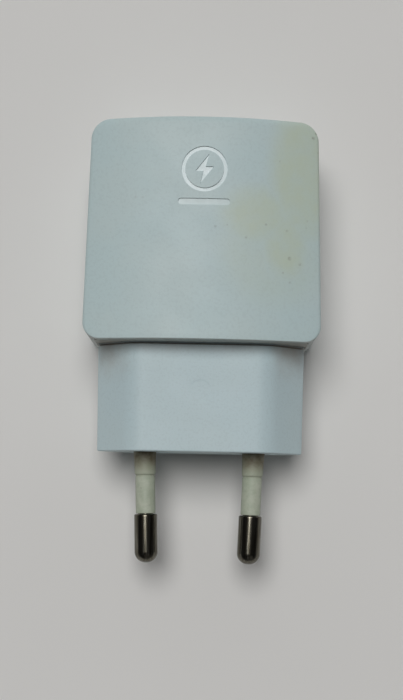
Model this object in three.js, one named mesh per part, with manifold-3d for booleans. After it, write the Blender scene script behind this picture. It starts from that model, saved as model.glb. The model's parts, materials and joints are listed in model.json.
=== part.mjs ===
// USB wall charger with a two-pin plug, lying on its back.
// Millimetres. +X is to the right, +Y runs from the pins to the USB port, +Z is the front.
// The origin is under the middle of the object: y = 0 is the shoulder where the plug base
// leaves the case, and z = 0 is the flat back.

import * as THREE from 'three';
import { mergeVertices } from 'three/addons/utils/BufferGeometryUtils.js';
import Module from 'manifold-3d';

const wasm = await Module();
wasm.setup();

// ---- driving dimensions ----------------------------------------------------------------

const CASE_LENGTH = 38.0;
const CASE_DEPTH = 23.8;
const MOUTH_HALF_WIDTH = 20.25;     // half the case's width at the shoulder
const PORT_HALF_WIDTH = 19.4;       // half the case's width at the USB end
const FRONT_DRAFT = 0.6;            // how much shallower the case is at its USB end
const CROWN_RADIUS = 62;            // the front face bulges across its width
const WALL = 1.9;
const FRONT_EDGE = 0.6;             // radii of the long edges
const BACK_EDGE = 2.4;
const END_EDGE = 1.3;               // the USB end's edge rolls over this length
const END_DROP = 0.5;               // and falls this far
const MOUTH_CORNER = 2.9;           // corner radii seen from the front
const PORT_CORNER = 3.3;
const END_BOW = 0.2;                // the USB end falls back towards its corners
const END_FLAT = 6;                 // half the width of its flat middle
const END_BOW_RADIUS = 250;

const NOSE_LENGTH = 18.6;           // plug base, from the shoulder to its face
const NOSE_HALF_WIDTH = 17.65;
const NOSE_HALF_DEPTH = 6.85;
const NOSE_FLAT = 11.7;             // half the width of its flat front and back
const NOSE_SIDE = 0.9;              // half the height of its narrow sides
const NOSE_CORNER = 5;              // radius between a flat and a slope
const NOSE_EDGE = 0.5;              // radius of the narrow sides' edges
const NOSE_WALL = 1.8;
const NOSE_TAPER = 0.013;           // growth from the face to the shoulder
const FACE_WALL = 2.2;

const PIN_Z = 11.45;                // the plug's middle plane
const PIN_LENGTH = 19;
const PIN_DIAMETER = 4.0;
const PIN_CORE = 2.7;
const PIN_PITCH = 18.8;             // between the pins at the plug face
const TIP_PITCH = 17.5;             // between their tips
const SLEEVE_LENGTH = 10.6;
const SLEEVE_DIAMETER = 3.4;
const COLLAR_DIAMETER = 3.9;        // at the plug face
const COLLAR_END_DIAMETER = 3.6;
const COLLAR_LENGTH = 3.9;
const PIN_TAIL = 9.5;               // what stands inside the plug base
const PIN_TIP_RADIUS = 1.85;

const BOARD_TOP = 9.2;
const BOARD_THICKNESS = 1.2;
const BOARD_HALF_WIDTH = 16.2;
const BOARD_START = 4.4;
const BOARD_END = 35.2;

const SHELL_WIDTH = 13.1;           // receptacle shell, outside
const SHELL_HEIGHT = 5.72;
const SHELL_SHEET = 0.3;
const SHELL_START = 23.2;
const SHELL_MOUTH = 37.6;
const PORT_MARGIN = 0.3;            // between the shell and the case's opening
const PORT_OPENING_RADIUS = 0.9;
const PORT_Z = BOARD_TOP + SHELL_HEIGHT / 2;
const TONGUE_THICKNESS = 1.84;
const TONGUE_HALF_WIDTH = 5.55;
const CONTACT_X = [-3.5, -1.0, 1.0, 3.5];
const CONTACT_WIDTH = 1.0;
const CONTACT_SHEET = 0.25;

const FIT = 0.15;                   // clearance between parts that slide together
const BORE_GAP = 0.3;               // clearance round a pin in its leaning hole
const TOOL = 30;                    // how far a cutting body runs past the part

// ---- materials ---------------------------------------------------------------------------

function finish(color, roughness, metalness = 0) {
  return new THREE.MeshStandardMaterial({ color, roughness, metalness });
}

const housing = finish(0xdfe5e6, 0.55);
const sleeveWhite = finish(0xc9d0c0, 0.6);
const nickel = finish(0x8e8c84, 0.25, 1);
const brass = finish(0xc9a352, 0.35, 1);
const steel = finish(0xb9bcc0, 0.3, 1);
const copper = finish(0xb4622d, 0.35, 0.8);
const boardGreen = finish(0x1e5b3a, 0.5);
const ferrite = finish(0x2d2c2e, 0.7);
const blackPlastic = finish(0x16171a, 0.5);
const tapeYellow = finish(0xd9b535, 0.4);
const capSleeve = finish(0x1c2531, 0.35);
const aluminium = finish(0xc8cacd, 0.35, 1);
const ceramicBlue = finish(0x2f5fae, 0.5);
const fuseGreen = finish(0x4b7c59, 0.5);
const ceramicTan = finish(0xb59b73, 0.6);
const film = finish(0x9a5a1b, 0.3);

// ---- solids ------------------------------------------------------------------------------

function solid(geometry) {
  const bare = geometry.clone();
  bare.deleteAttribute('normal');
  bare.deleteAttribute('uv');
  const merged = mergeVertices(bare, 1e-4);
  return new wasm.Manifold(new wasm.Mesh({
    numProp: 3,
    vertProperties: new Float32Array(merged.attributes.position.array),
    triVerts: new Uint32Array(merged.index.array),
  }));
}

function geometryOf(body) {
  const mesh = body.getMesh();
  const geometry = new THREE.BufferGeometry();
  geometry.setAttribute('position', new THREE.BufferAttribute(mesh.vertProperties, 3));
  geometry.setIndex(new THREE.BufferAttribute(mesh.triVerts, 1));
  geometry.computeVertexNormals();
  return geometry;
}

function joined(first, ...others) {
  return geometryOf(others.reduce((body, other) => body.add(solid(other)), solid(first)));
}

function cut(first, ...others) {
  return geometryOf(others.reduce((body, other) => body.subtract(solid(other)), solid(first)));
}

function common(first, ...others) {
  return geometryOf(others.reduce((body, other) => body.intersect(solid(other)), solid(first)));
}

// A box given by its lowest and highest corners.
function box(x0, x1, y0, y1, z0, z1) {
  const geometry = new THREE.BoxGeometry(x1 - x0, y1 - y0, z1 - z0);
  return geometry.translate((x0 + x1) / 2, (y0 + y1) / 2, (z0 + z1) / 2);
}

// A shape drawn in X and Y, standing along Z.
function prismAlongZ(shape, z0, z1, curveSegments = 8) {
  const options = { depth: z1 - z0, bevelEnabled: false, curveSegments };
  return new THREE.ExtrudeGeometry(shape, options).translate(0, 0, z0);
}

// A shape drawn in X and Z, running along Y. Both ends may roll over, by drop in length bevel.
function prismAlongY(shape, y0, y1, curveSegments = 8, bevel = 0, drop = 0) {
  const options = {
    depth: y1 - y0 - 2 * bevel,
    curveSegments,
    bevelEnabled: bevel > 0,
    bevelThickness: bevel,
    bevelSize: drop,
    bevelOffset: -drop,
    bevelSegments: 3,
  };
  const geometry = new THREE.ExtrudeGeometry(shape, options);
  return geometry.rotateX(Math.PI / 2).translate(0, y1 - bevel, 0);
}

// A shape drawn in Y and Z, running along X.
function prismAlongX(shape, x0, x1, curveSegments = 8) {
  const options = { depth: x1 - x0, bevelEnabled: false, curveSegments };
  const turn = new THREE.Matrix4().makeBasis(
    new THREE.Vector3(0, 1, 0),
    new THREE.Vector3(0, 0, 1),
    new THREE.Vector3(1, 0, 0),
  );
  return new THREE.ExtrudeGeometry(shape, options).applyMatrix4(turn).translate(x0, 0, 0);
}

// A turned piece about the local Y axis: [radius, y] from the lowest y to the highest.
function turned(profile, segments = 32) {
  return new THREE.LatheGeometry(profile.map(([r, y]) => new THREE.Vector2(r, y)), segments);
}

// A straight-sided outline.
function outline(points) {
  return new THREE.Shape(points.map(([x, y]) => new THREE.Vector2(x, y)));
}

// An outline of [x, y, radius] corners, given anticlockwise.
function roundedOutline(corners) {
  const shape = new THREE.Shape();
  corners.forEach(([x, y, radius], i) => {
    const corner = new THREE.Vector2(x, y);
    const before = new THREE.Vector2(...corners.at(i - 1));
    const after = new THREE.Vector2(...corners[(i + 1) % corners.length]);
    const back = before.sub(corner).normalize();
    const ahead = after.sub(corner).normalize();
    const half = Math.acos(THREE.MathUtils.clamp(back.dot(ahead), -1, 1)) / 2;
    const start = corner.clone().addScaledVector(back, radius / Math.tan(half));
    const middle = back.clone().add(ahead).normalize();
    const centre = corner.clone().addScaledVector(middle, radius / Math.sin(half));
    const from = start.clone().sub(centre).angle();
    const sweep = Math.PI - 2 * half;
    if (i === 0) shape.moveTo(start.x, start.y);
    else shape.lineTo(start.x, start.y);
    shape.absarc(centre.x, centre.y, radius, from, from + sweep, false);
  });
  return shape;
}

function roundedRectangle(width, height, radius, x = 0, y = 0) {
  const w = width / 2;
  const h = height / 2;
  return roundedOutline([
    [x - w, y - h, radius],
    [x + w, y - h, radius],
    [x + w, y + h, radius],
    [x - w, y + h, radius],
  ]);
}

// ---- case --------------------------------------------------------------------------------

// Case cross-section at the shoulder, in X and Z, drawn inset from the outer surface.
function caseSection(inset) {
  const half = MOUTH_HALF_WIDTH - inset + 0.02;
  const crest = CASE_DEPTH - inset;
  const back = Math.max(BACK_EDGE - inset, 0.6);
  const front = FRONT_EDGE;
  const crown = (x) => crest - CROWN_RADIUS + Math.sqrt(CROWN_RADIUS ** 2 - x ** 2);
  const arcStart = Math.acos((half - front) / CROWN_RADIUS);
  const shape = new THREE.Shape();
  shape.moveTo(-half + back, inset);
  shape.lineTo(half - back, inset);
  shape.absarc(half - back, inset + back, back, -Math.PI / 2, 0, false);
  shape.lineTo(half, crown(half) - front);
  shape.quadraticCurveTo(half, crown(half), half - front, crown(half - front));
  shape.absarc(0, crest - CROWN_RADIUS, CROWN_RADIUS, arcStart, Math.PI - arcStart, false);
  shape.quadraticCurveTo(-half, crown(half), -half, crown(half) - front);
  shape.lineTo(-half, inset + back);
  shape.absarc(-half + back, inset + back, back, Math.PI, 1.5 * Math.PI, false);
  return shape;
}

// The case narrows in width and depth towards the USB end.
function drafted(geometry) {
  const position = geometry.attributes.position;
  for (let i = 0; i < position.count; i += 1) {
    const along = position.getY(i) / CASE_LENGTH;
    const width = 1 - along * (1 - PORT_HALF_WIDTH / MOUTH_HALF_WIDTH);
    const depth = 1 - along * (FRONT_DRAFT / CASE_DEPTH);
    position.setX(i, position.getX(i) * width);
    position.setZ(i, position.getZ(i) * depth);
  }
  return geometry;
}

// Case outline seen from the front: tapered sides, round corners, a slightly bowed USB end.
function caseOutline(inset, start) {
  const narrow = PORT_HALF_WIDTH - inset;
  const slope = (MOUTH_HALF_WIDTH - PORT_HALF_WIDTH) / CASE_LENGTH;
  const end = CASE_LENGTH - inset;
  const wide = MOUTH_HALF_WIDTH - inset - slope * start;
  const mouthCorner = Math.max(MOUTH_CORNER - inset, 0.8);
  const portCorner = Math.max(PORT_CORNER - inset, 0.8);
  return roundedOutline([
    [-wide, start, start < 0 ? 0.1 : mouthCorner],
    [wide, start, start < 0 ? 0.1 : mouthCorner],
    [narrow, end - END_BOW, portCorner],
    [END_FLAT, end, END_BOW_RADIUS],
    [-END_FLAT, end, END_BOW_RADIUS],
    [-narrow, end - END_BOW, portCorner],
  ]);
}

// The case's form inset by the wall, starting at y = start.
function caseForm(inset, start, edge = 0, drop = 0) {
  const bar = prismAlongY(caseSection(inset), -2 * WALL, CASE_LENGTH - inset, 6, edge, drop);
  return common(drafted(bar), prismAlongZ(caseOutline(inset, start), -1, CASE_DEPTH + 1, 6));
}

// Lightning bolt and ring, with a plain bar below: a generic charging mark.
const MARK_Y = 28.9;
const MARK_DEPTH = 0.25;

function markCutters() {
  const ring = prismAlongZ(roundedRectangle(7.8, 7.8, 3.89), -MARK_DEPTH, 1, 10);
  const core = prismAlongZ(roundedRectangle(6.5, 6.5, 3.24), -1, 2, 10);
  const bolt = outline([
    [0.75, 2.6],
    [-1.55, -0.4],
    [-0.2, -0.4],
    [-0.75, -2.6],
    [1.55, 0.4],
    [0.2, 0.4],
  ]);
  const bar = prismAlongZ(roundedRectangle(8.8, 1.1, 0.54, 0, -5.6), -MARK_DEPTH, 1, 4);
  const tilt = -Math.atan(FRONT_DRAFT / CASE_LENGTH);
  const crest = CASE_DEPTH - FRONT_DRAFT * (MARK_Y / CASE_LENGTH);
  const cutters = [cut(ring, core), prismAlongZ(bolt, -MARK_DEPTH, 1), bar];
  return cutters.map((cutter) => cutter.rotateX(tilt).translate(0, MARK_Y, crest));
}

const RAIL_REACH = 15.4;
const RAIL_HEIGHT = 1.2;
const RAIL_END = 34.4;

// Two ledges on each side wall hold the board's long edges.
function boardRails() {
  const reach = MOUTH_HALF_WIDTH - WALL / 2;
  const under = BOARD_TOP - BOARD_THICKNESS - FIT;
  const over = BOARD_TOP + FIT;
  const ledges = [[under - RAIL_HEIGHT, under], [over, over + RAIL_HEIGHT]];
  const body = caseForm(WALL / 2, 0);
  return ledges.flatMap(([z0, z1]) => [-1, 1].map((side) => {
    const inner = Math.min(side * RAIL_REACH, side * reach);
    const outer = Math.max(side * RAIL_REACH, side * reach);
    return common(box(inner, outer, 5, RAIL_END + 2, z0, z1), body);
  }));
}

function outerCase() {
  const width = SHELL_WIDTH + 2 * PORT_MARGIN;
  const height = SHELL_HEIGHT + 2 * PORT_MARGIN;
  const opening = roundedRectangle(width, height, PORT_OPENING_RADIUS, 0, PORT_Z);
  const port = prismAlongY(opening, CASE_LENGTH - 5, CASE_LENGTH + 5, 4);
  const hollow = cut(caseForm(0, 0, END_EDGE, END_DROP), caseForm(WALL, -2), port);
  return cut(joined(hollow, ...boardRails()), ...markCutters());
}

// ---- plug base ---------------------------------------------------------------------------

// Flattened hexagon of the two-pin plug, in X and Z.
function noseSection(inset) {
  const flat = NOSE_FLAT - inset * (Math.SQRT2 - 1);
  const side = NOSE_SIDE + inset * (Math.SQRT2 - 1) * 0.5;
  const w = NOSE_HALF_WIDTH - inset;
  const h = NOSE_HALF_DEPTH - inset;
  const soft = Math.max(NOSE_CORNER - inset, NOSE_EDGE);
  const edge = NOSE_EDGE;
  return roundedOutline([
    [-w, -side, edge],
    [-flat, -h, soft],
    [flat, -h, soft],
    [w, -side, edge],
    [w, side, edge],
    [flat, h, soft],
    [-flat, h, soft],
    [-w, side, edge],
  ]);
}

// A length of the plug base, growing towards the shoulder.
function nosePrism(inset, y0, y1) {
  const geometry = prismAlongY(noseSection(inset), y0, y1, 4);
  const position = geometry.attributes.position;
  for (let i = 0; i < position.count; i += 1) {
    const growth = 1 + NOSE_TAPER * (1 + position.getY(i) / NOSE_LENGTH);
    position.setX(i, position.getX(i) * growth);
    position.setZ(i, position.getZ(i) * growth + PIN_Z);
  }
  return geometry;
}

const SHOULDER = 2.0;
const FLANGE = 1.4;
const HOLE_MARGIN = 0.25;           // between the plug base and the shoulder plate's hole

// Plate that closes the case's mouth round the plug base.
function shoulderPlate() {
  const plate = common(caseForm(WALL + FIT, -2), box(-TOOL, TOOL, 0, SHOULDER, -1, TOOL));
  return cut(plate, nosePrism(-HOLE_MARGIN, -1, SHOULDER + 1));
}

const PIN_SIDES = [['left', -1], ['right', 1]];
const PIN_LEAN = Math.asin((PIN_PITCH - TIP_PITCH) / 2 / PIN_LENGTH);
const BOSS_DIAMETER = 7;
const BOSS_LENGTH = 3;

// Puts a piece made about the Y axis on a pin's own axis.
function onPin(geometry, side) {
  return geometry.rotateZ(side * -PIN_LEAN).translate(side * PIN_PITCH / 2, -NOSE_LENGTH, PIN_Z);
}

function plugBase() {
  const flange = box(-17.6, 17.6, SHOULDER, SHOULDER + FLANGE, 3.6, 19.2);
  const shell = cut(
    joined(nosePrism(0, -NOSE_LENGTH, SHOULDER + FLANGE), flange),
    nosePrism(NOSE_WALL, -NOSE_LENGTH + FACE_WALL, SHOULDER + TOOL),
  );
  const bossEnd = FACE_WALL + BOSS_LENGTH;
  const bosses = PIN_SIDES.map(([, side]) => onPin(
    turned([[0, 0.6], [BOSS_DIAMETER / 2, 0.6], [BOSS_DIAMETER / 2, bossEnd], [0, bossEnd]], 24),
    side,
  ));
  const sleeveHole = COLLAR_DIAMETER / 2 + BORE_GAP / 2;
  const holes = PIN_SIDES.map(([, side]) => onPin(
    turned([[0, -2], [sleeveHole, -2], [sleeveHole, bossEnd + 2], [0, bossEnd + 2]], 32),
    side,
  ));
  return cut(joined(shell, ...bosses), ...holes);
}

// Plated pin: a thin core under the sleeve and a full round tip.
function pin(side) {
  const core = PIN_CORE / 2;
  const tip = PIN_DIAMETER / 2;
  const round = PIN_TIP_RADIUS;
  const profile = [[0, -PIN_LENGTH]];
  for (let step = 1; step <= 5; step += 1) {
    const angle = (step / 5) * (Math.PI / 2);
    const radius = tip - round + round * Math.sin(angle);
    profile.push([radius, -PIN_LENGTH + round * (1 - Math.cos(angle))]);
  }
  profile.push(
    [tip, -SLEEVE_LENGTH - 0.35],
    [tip - 0.25, -SLEEVE_LENGTH - 0.1],
    [core, -SLEEVE_LENGTH - 0.1],
    [core, PIN_TAIL],
    [0, PIN_TAIL],
  );
  return onPin(turned(profile), side);
}

// Insulating sleeve moulded round the pin, with a thicker collar at the plug face.
function pinSleeve(side) {
  const inner = PIN_CORE / 2 + 0.08;
  const slim = SLEEVE_DIAMETER / 2;
  const groove = slim - 0.1;
  const inside = FACE_WALL + BOSS_LENGTH - 0.5;
  const profile = [
    [inner, -SLEEVE_LENGTH],
    [slim, -SLEEVE_LENGTH],
    [slim, -COLLAR_LENGTH - 0.3],
    [groove, -COLLAR_LENGTH - 0.2],
    [groove, -COLLAR_LENGTH - 0.05],
    [COLLAR_END_DIAMETER / 2, -COLLAR_LENGTH + 0.1],
    [COLLAR_DIAMETER / 2, 0],
    [COLLAR_DIAMETER / 2, inside],
    [inner, inside],
    [inner, -SLEEVE_LENGTH],
  ];
  return onPin(turned(profile), side);
}

// Sprung strip from a pin's tail to the board.
function pinContact(side) {
  const sheet = 0.4;
  const under = PIN_Z - PIN_CORE / 2 - 0.1;
  const foot = BOARD_TOP;
  const end = -NOSE_LENGTH + FACE_WALL + BOSS_LENGTH + 0.3;
  const bottom = [[6.6, foot], [5.2, foot], [4.8, under - sheet], [end, under - sheet]];
  const top = [[end, under], [4.6, under], [5.0, foot + sheet], [6.6, foot + sheet]];
  const strip = prismAlongX(outline([...bottom, ...top].reverse()), -1.5, 1.5);
  return strip.translate(side * 9.1, 0, 0);
}

// ---- board and its parts -------------------------------------------------------------------

function mainBoard() {
  const plan = roundedOutline([
    [-BOARD_HALF_WIDTH, BOARD_START, 0.8],
    [BOARD_HALF_WIDTH, BOARD_START, 0.8],
    [BOARD_HALF_WIDTH, BOARD_END, 2.4],
    [-BOARD_HALF_WIDTH, BOARD_END, 2.4],
  ]);
  const plate = prismAlongZ(plan, BOARD_TOP - BOARD_THICKNESS, BOARD_TOP, 4);
  const slot = prismAlongZ(roundedRectangle(13, 1.0, 0.49, -7.5, 21.3), 0, TOOL, 4);
  const legs = [-1, 1].map((side) => box(
    side * (SHELL_WIDTH / 2) - 0.45, side * (SHELL_WIDTH / 2) + 0.45, 28.6, 31.4, 0, TOOL,
  ));
  return cut(plate, slot, ...legs);
}

// Electrolytic capacitor about Y: crimped neck, flat top with a rolled rim.
function canCapacitor(diameter, length, neck = 1.6) {
  const r = diameter / 2;
  return turned([
    [0, 0],
    [r - 0.5, 0],
    [r - 0.1, 0.35],
    [r, neck - 0.7],
    [r - 0.35, neck],
    [r, neck + 0.7],
    [r, length - 0.4],
    [r - 0.4, length],
    [r - 0.9, length],
    [r - 1.0, length - 0.25],
    [0, length - 0.25],
  ], 20);
}

const LEAD_RADIUS = 0.3;
const STAND_OFF = 0.3;              // standing parts are held this far off the board

// Straight lead standing on the board.
function standingLead(x, y, height, radius = LEAD_RADIUS) {
  const lead = new THREE.CylinderGeometry(radius, radius, height, 8);
  return lead.rotateX(Math.PI / 2).translate(x, y, BOARD_TOP + height / 2);
}

// Two-part lead: level along Y from y0 to y1 at height z, then down to the board.
function bentLead(x, y0, y1, z) {
  const level = new THREE.CylinderGeometry(LEAD_RADIUS, LEAD_RADIUS, Math.abs(y1 - y0), 8);
  level.translate(x, (y0 + y1) / 2, z);
  return [level, standingLead(x, y1, z - BOARD_TOP + LEAD_RADIUS)];
}

const INPUT_CAN = 7.8;

function inputCapacitorOnBoard() {
  const [x, y, z] = [-11.6, 6.8, BOARD_TOP + 4.1];
  const leads = [[-1.7, 6.0], [1.7, 5.0]].flatMap(([dz, row]) => bentLead(x, y + 0.5, row, z + dz));
  return joined(canCapacitor(INPUT_CAN, 13.4).translate(x, y, z), ...leads);
}

function inputCapacitorInPlug() {
  const y = 1.0;
  const can = canCapacitor(INPUT_CAN, 13.2).rotateZ(Math.PI).translate(0, y, PIN_Z);
  return joined(can, ...[-1.7, 1.7].flatMap((x) => bentLead(x, y - 0.5, 5.6, PIN_Z)));
}

function outputCapacitor(y) {
  const x = 11.4;
  const can = canCapacitor(6.3, 8.6, 1.3).rotateX(Math.PI / 2);
  const leads = [-1.25, 1.25].map((dx) => standingLead(x + dx, y, STAND_OFF + 0.1));
  return joined(can.translate(x, y, BOARD_TOP + STAND_OFF), ...leads);
}

// Wire-wound fusible resistor lying beside the transformer.
function fuseResistor() {
  const [x, y, z] = [12.6, 6.2, BOARD_TOP + 2.2];
  const body = turned([
    [0, 0], [1.2, 0], [1.6, 0.5], [1.6, 1.6], [1.4, 2.2], [1.4, 6.2], [1.6, 6.8], [1.6, 7.9],
    [1.2, 8.4], [0, 8.4],
  ], 16).translate(x, y, z);
  return joined(body, ...bentLead(x, y + 0.5, y - 0.8, z), ...bentLead(x, y + 8, y + 9.1, z));
}

// Drum choke standing on the board, in its shrink sleeve.
function lineChoke() {
  const [x, y] = [12.0, 18.6];
  const drum = turned([
    [0, 0], [2.8, 0], [2.9, 0.2], [2.9, 1.1], [2.6, 1.6], [2.6, 6.2], [2.9, 6.7], [2.9, 7.6],
    [2.8, 7.8], [0, 7.8],
  ], 20).rotateX(Math.PI / 2).translate(x, y, BOARD_TOP + STAND_OFF);
  return joined(drum, ...[-1.5, 1.5].map((dx) => standingLead(x + dx, y, STAND_OFF + 0.1)));
}

// Flat body with bent legs on two sides, hanging under the board.
function underBoardChip(x, y, length, width, height, legs) {
  const top = BOARD_TOP - BOARD_THICKNESS;
  const [w, l] = [width / 2, length / 2];
  const body = box(x - w, x + w, y - l, y + l, top - height, top - 0.1);
  const pitch = length / legs;
  const feet = [];
  for (let i = 0; i < legs; i += 1) {
    const at = y - l + pitch * (i + 0.5);
    for (const side of [-1, 1]) {
      const inner = x + side * (w - 0.2);
      const outer = x + side * (w + 0.8);
      const low = Math.min(inner, outer);
      const high = Math.max(inner, outer);
      feet.push(box(low, high, at - 0.22, at + 0.22, top - 0.35, top));
    }
  }
  return joined(body, ...feet);
}

// Chip resistor or capacitor with its end caps, under the board.
function chip(x, y, length, width, height) {
  const top = BOARD_TOP - BOARD_THICKNESS;
  const [l, w] = [length / 2, width / 2];
  const body = box(x - l + 0.3, x + l - 0.3, y - w, y + w, top - height + 0.05, top - 0.05);
  const ends = [-1, 1].map((side) => {
    const inner = x + side * (l - 0.4);
    const outer = x + side * l;
    const low = Math.min(inner, outer);
    const high = Math.max(inner, outer);
    return box(low, high, y - w - 0.03, y + w + 0.03, top - height, top);
  });
  return joined(body, ...ends);
}

// Safety capacitor: a lens-shaped disc on edge, with its two leads.
function safetyCapacitor() {
  const disc = turned([
    [0, -1.9], [1.6, -1.8], [2.9, -1.3], [3.6, 0], [2.9, 1.3], [1.6, 1.8], [0, 1.9],
  ], 24).translate(-11.2, 25.6, BOARD_TOP + 4.6);
  const leads = [-13.4, -9.0].map((x) => standingLead(x, 25.6, 3));
  return joined(disc, ...leads);
}

// ---- transformer -------------------------------------------------------------------------

const CORE_X = 1.6;
const CORE_Y = 13.6;
const CORE_Z = BOARD_TOP + 5.4;
const CORE_HALF_LENGTH = 6.4;
const CORE_SPAN = 13.2;
const CORE_HEIGHT = 6;
const CORE_BACK = 2.6;
const LIMB_CENTRE = 3.4;
const LIMB_SIDE = 1.9;

// E-shaped half of the ferrite core; side is -1 or 1 along X.
function coreHalf(side) {
  const half = CORE_SPAN / 2;
  const back = CORE_HALF_LENGTH;
  const root = back - CORE_BACK;
  const joint = 0.03;
  const centre = LIMB_CENTRE / 2;
  const limb = half - LIMB_SIDE;
  const shape = outline([
    [back, -half], [back, half], [joint, half], [joint, limb], [root, limb], [root, centre],
    [joint, centre], [joint, -centre], [root, -centre], [root, -limb], [joint, -limb], [joint, -half],
  ]);
  const prism = prismAlongZ(shape, -CORE_HEIGHT / 2, CORE_HEIGHT / 2);
  return prism.rotateZ(side > 0 ? 0 : Math.PI).translate(CORE_X, CORE_Y, CORE_Z);
}

const BOBBIN_WALL = 0.5;
const FLANGE_SPAN = 8.9;
const FLANGE_HEIGHT = 9.4;
const BOBBIN_HALF = CORE_HALF_LENGTH - CORE_BACK - 0.15;

// Rectangular ring about the transformer's X axis.
function squareRing(outerY, outerZ, innerY, innerZ, x0, x1) {
  const ring = roundedRectangle(outerY, outerZ, 0.8);
  const hole = roundedRectangle(innerY, innerZ, 0.3);
  ring.holes.push(new THREE.Path(hole.getPoints(3).reverse()));
  return prismAlongX(ring, x0, x1, 3).translate(CORE_X, CORE_Y, CORE_Z);
}

function bobbin() {
  const holeY = LIMB_CENTRE + 0.3;
  const holeZ = CORE_HEIGHT + 0.3;
  const tubeY = holeY + 2 * BOBBIN_WALL;
  const tubeZ = holeZ + 2 * BOBBIN_WALL;
  const tube = squareRing(tubeY, tubeZ, holeY, holeZ, -BOBBIN_HALF, BOBBIN_HALF);
  const flanges = [-1, 1].map((side) => {
    const x0 = Math.min(side * BOBBIN_HALF, side * (BOBBIN_HALF - BOBBIN_WALL));
    return squareRing(FLANGE_SPAN, FLANGE_HEIGHT, holeY, holeZ, x0, x0 + BOBBIN_WALL);
  });
  const pins = [-1, 1].flatMap((side) => [-3.2, -1.1, 1.1, 3.2].map(
    (y) => standingLead(CORE_X + side * (BOBBIN_HALF - BOBBIN_WALL / 2), CORE_Y + y, 1.2, 0.22),
  ));
  return joined(tube, ...flanges, ...pins);
}

function windings() {
  const innerY = LIMB_CENTRE + 0.5 + 2 * BOBBIN_WALL;
  const innerZ = CORE_HEIGHT + 0.5 + 2 * BOBBIN_WALL;
  const half = BOBBIN_HALF - BOBBIN_WALL - 0.1;
  return squareRing(FLANGE_SPAN - 1.0, FLANGE_HEIGHT - 0.8, innerY, innerZ, -half, half);
}

function windingTape() {
  const half = BOBBIN_HALF - BOBBIN_WALL - 0.1;
  return squareRing(
    FLANGE_SPAN - 0.5, FLANGE_HEIGHT - 0.3, FLANGE_SPAN - 0.9, FLANGE_HEIGHT - 0.7, -half, half,
  );
}

// Tape that holds the two core halves together.
function coreTape() {
  const half = CORE_HALF_LENGTH + 0.05;
  const span = CORE_SPAN / 2 + 0.05;
  const band = 0.18;
  const loop = roundedRectangle(2 * (half + band), 2 * (span + band), 0.5);
  const hole = roundedRectangle(2 * half, 2 * span, 0.05);
  loop.holes.push(new THREE.Path(hole.getPoints(2).reverse()));
  return prismAlongZ(loop, -2, 2, 3).translate(CORE_X, CORE_Y, CORE_Z);
}

// ---- USB receptacle ----------------------------------------------------------------------

const SPRING_X = [-3.1, 3.1];
const SPRING_END = 34.6;
const SPRING_LENGTH = 5.6;
const SPRING_SLOPE = 0.06;

// Folded steel shell with four leaf springs and two board legs.
function usbShell() {
  const rim = roundedRectangle(SHELL_WIDTH, SHELL_HEIGHT, 0.7, 0, PORT_Z);
  const inner = roundedRectangle(
    SHELL_WIDTH - 2 * SHELL_SHEET, SHELL_HEIGHT - 2 * SHELL_SHEET, 0.4, 0, PORT_Z,
  );
  const tube = cut(
    prismAlongY(rim, SHELL_START, SHELL_MOUTH, 4),
    prismAlongY(inner, SHELL_START - 1, SHELL_MOUTH + 1, 4),
  );
  const top = PORT_Z + SHELL_HEIGHT / 2;
  const bottom = PORT_Z - SHELL_HEIGHT / 2;
  const start = SPRING_END - SPRING_LENGTH;
  const windows = [];
  const leaves = [];
  for (const x of SPRING_X) {
    for (const [face, inward] of [[top, -1], [bottom, 1]]) {
      windows.push(box(x - 1.4, x + 1.4, start, SPRING_END, face - 0.5, face + 0.5));
      const half = SHELL_SHEET / 2;
      const leaf = box(x - 1.0, x + 1.0, -0.4, SPRING_LENGTH - 0.6, -half, half);
      leaves.push(leaf.rotateX(inward * SPRING_SLOPE).translate(0, start, face + inward * 0.2));
    }
  }
  const legs = [-1, 1].map((side) => {
    const middle = side * (SHELL_WIDTH - SHELL_SHEET) / 2;
    return box(middle - SHELL_SHEET / 2, middle + SHELL_SHEET / 2, 29, 31, BOARD_TOP - 2.0, PORT_Z);
  });
  return joined(cut(tube, ...windows), ...leaves, ...legs);
}

const TONGUE_TOP = PORT_Z + SHELL_HEIGHT / 2 - SHELL_SHEET - 0.7;
const TONGUE_BOTTOM = TONGUE_TOP - TONGUE_THICKNESS;
const TONGUE_END = 36.6;
const BLOCK_START = 22.8;
const BLOCK_FRONT = 26.4;
const ARM_Z = TONGUE_BOTTOM + 0.5;

// Moulded block with the tongue, its four grooves and the channels behind them.
function usbInsulator() {
  const floor = PORT_Z - SHELL_HEIGHT / 2 + SHELL_SHEET + 0.05;
  const block = box(-5.95, 5.95, BLOCK_START, BLOCK_FRONT, floor, TONGUE_TOP + 0.6);
  const tip = roundedRectangle(
    2 * TONGUE_HALF_WIDTH, TONGUE_THICKNESS, 0.3, 0, (TONGUE_TOP + TONGUE_BOTTOM) / 2,
  );
  const tongue = prismAlongY(tip, BLOCK_FRONT - 1, TONGUE_END, 3);
  const grooves = CONTACT_X.map((x) => box(
    x - 0.75, x + 0.75, BLOCK_FRONT, TONGUE_END - 0.6, TONGUE_BOTTOM - 1, TONGUE_BOTTOM + 1.25,
  ));
  const channels = CONTACT_X.map((x) => box(
    x - 0.65, x + 0.65, BLOCK_START - 1, BLOCK_FRONT + 0.5, ARM_Z - 0.2, ARM_Z + CONTACT_SHEET + 0.2,
  ));
  return cut(joined(block, tongue), ...grooves, ...channels);
}

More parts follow.
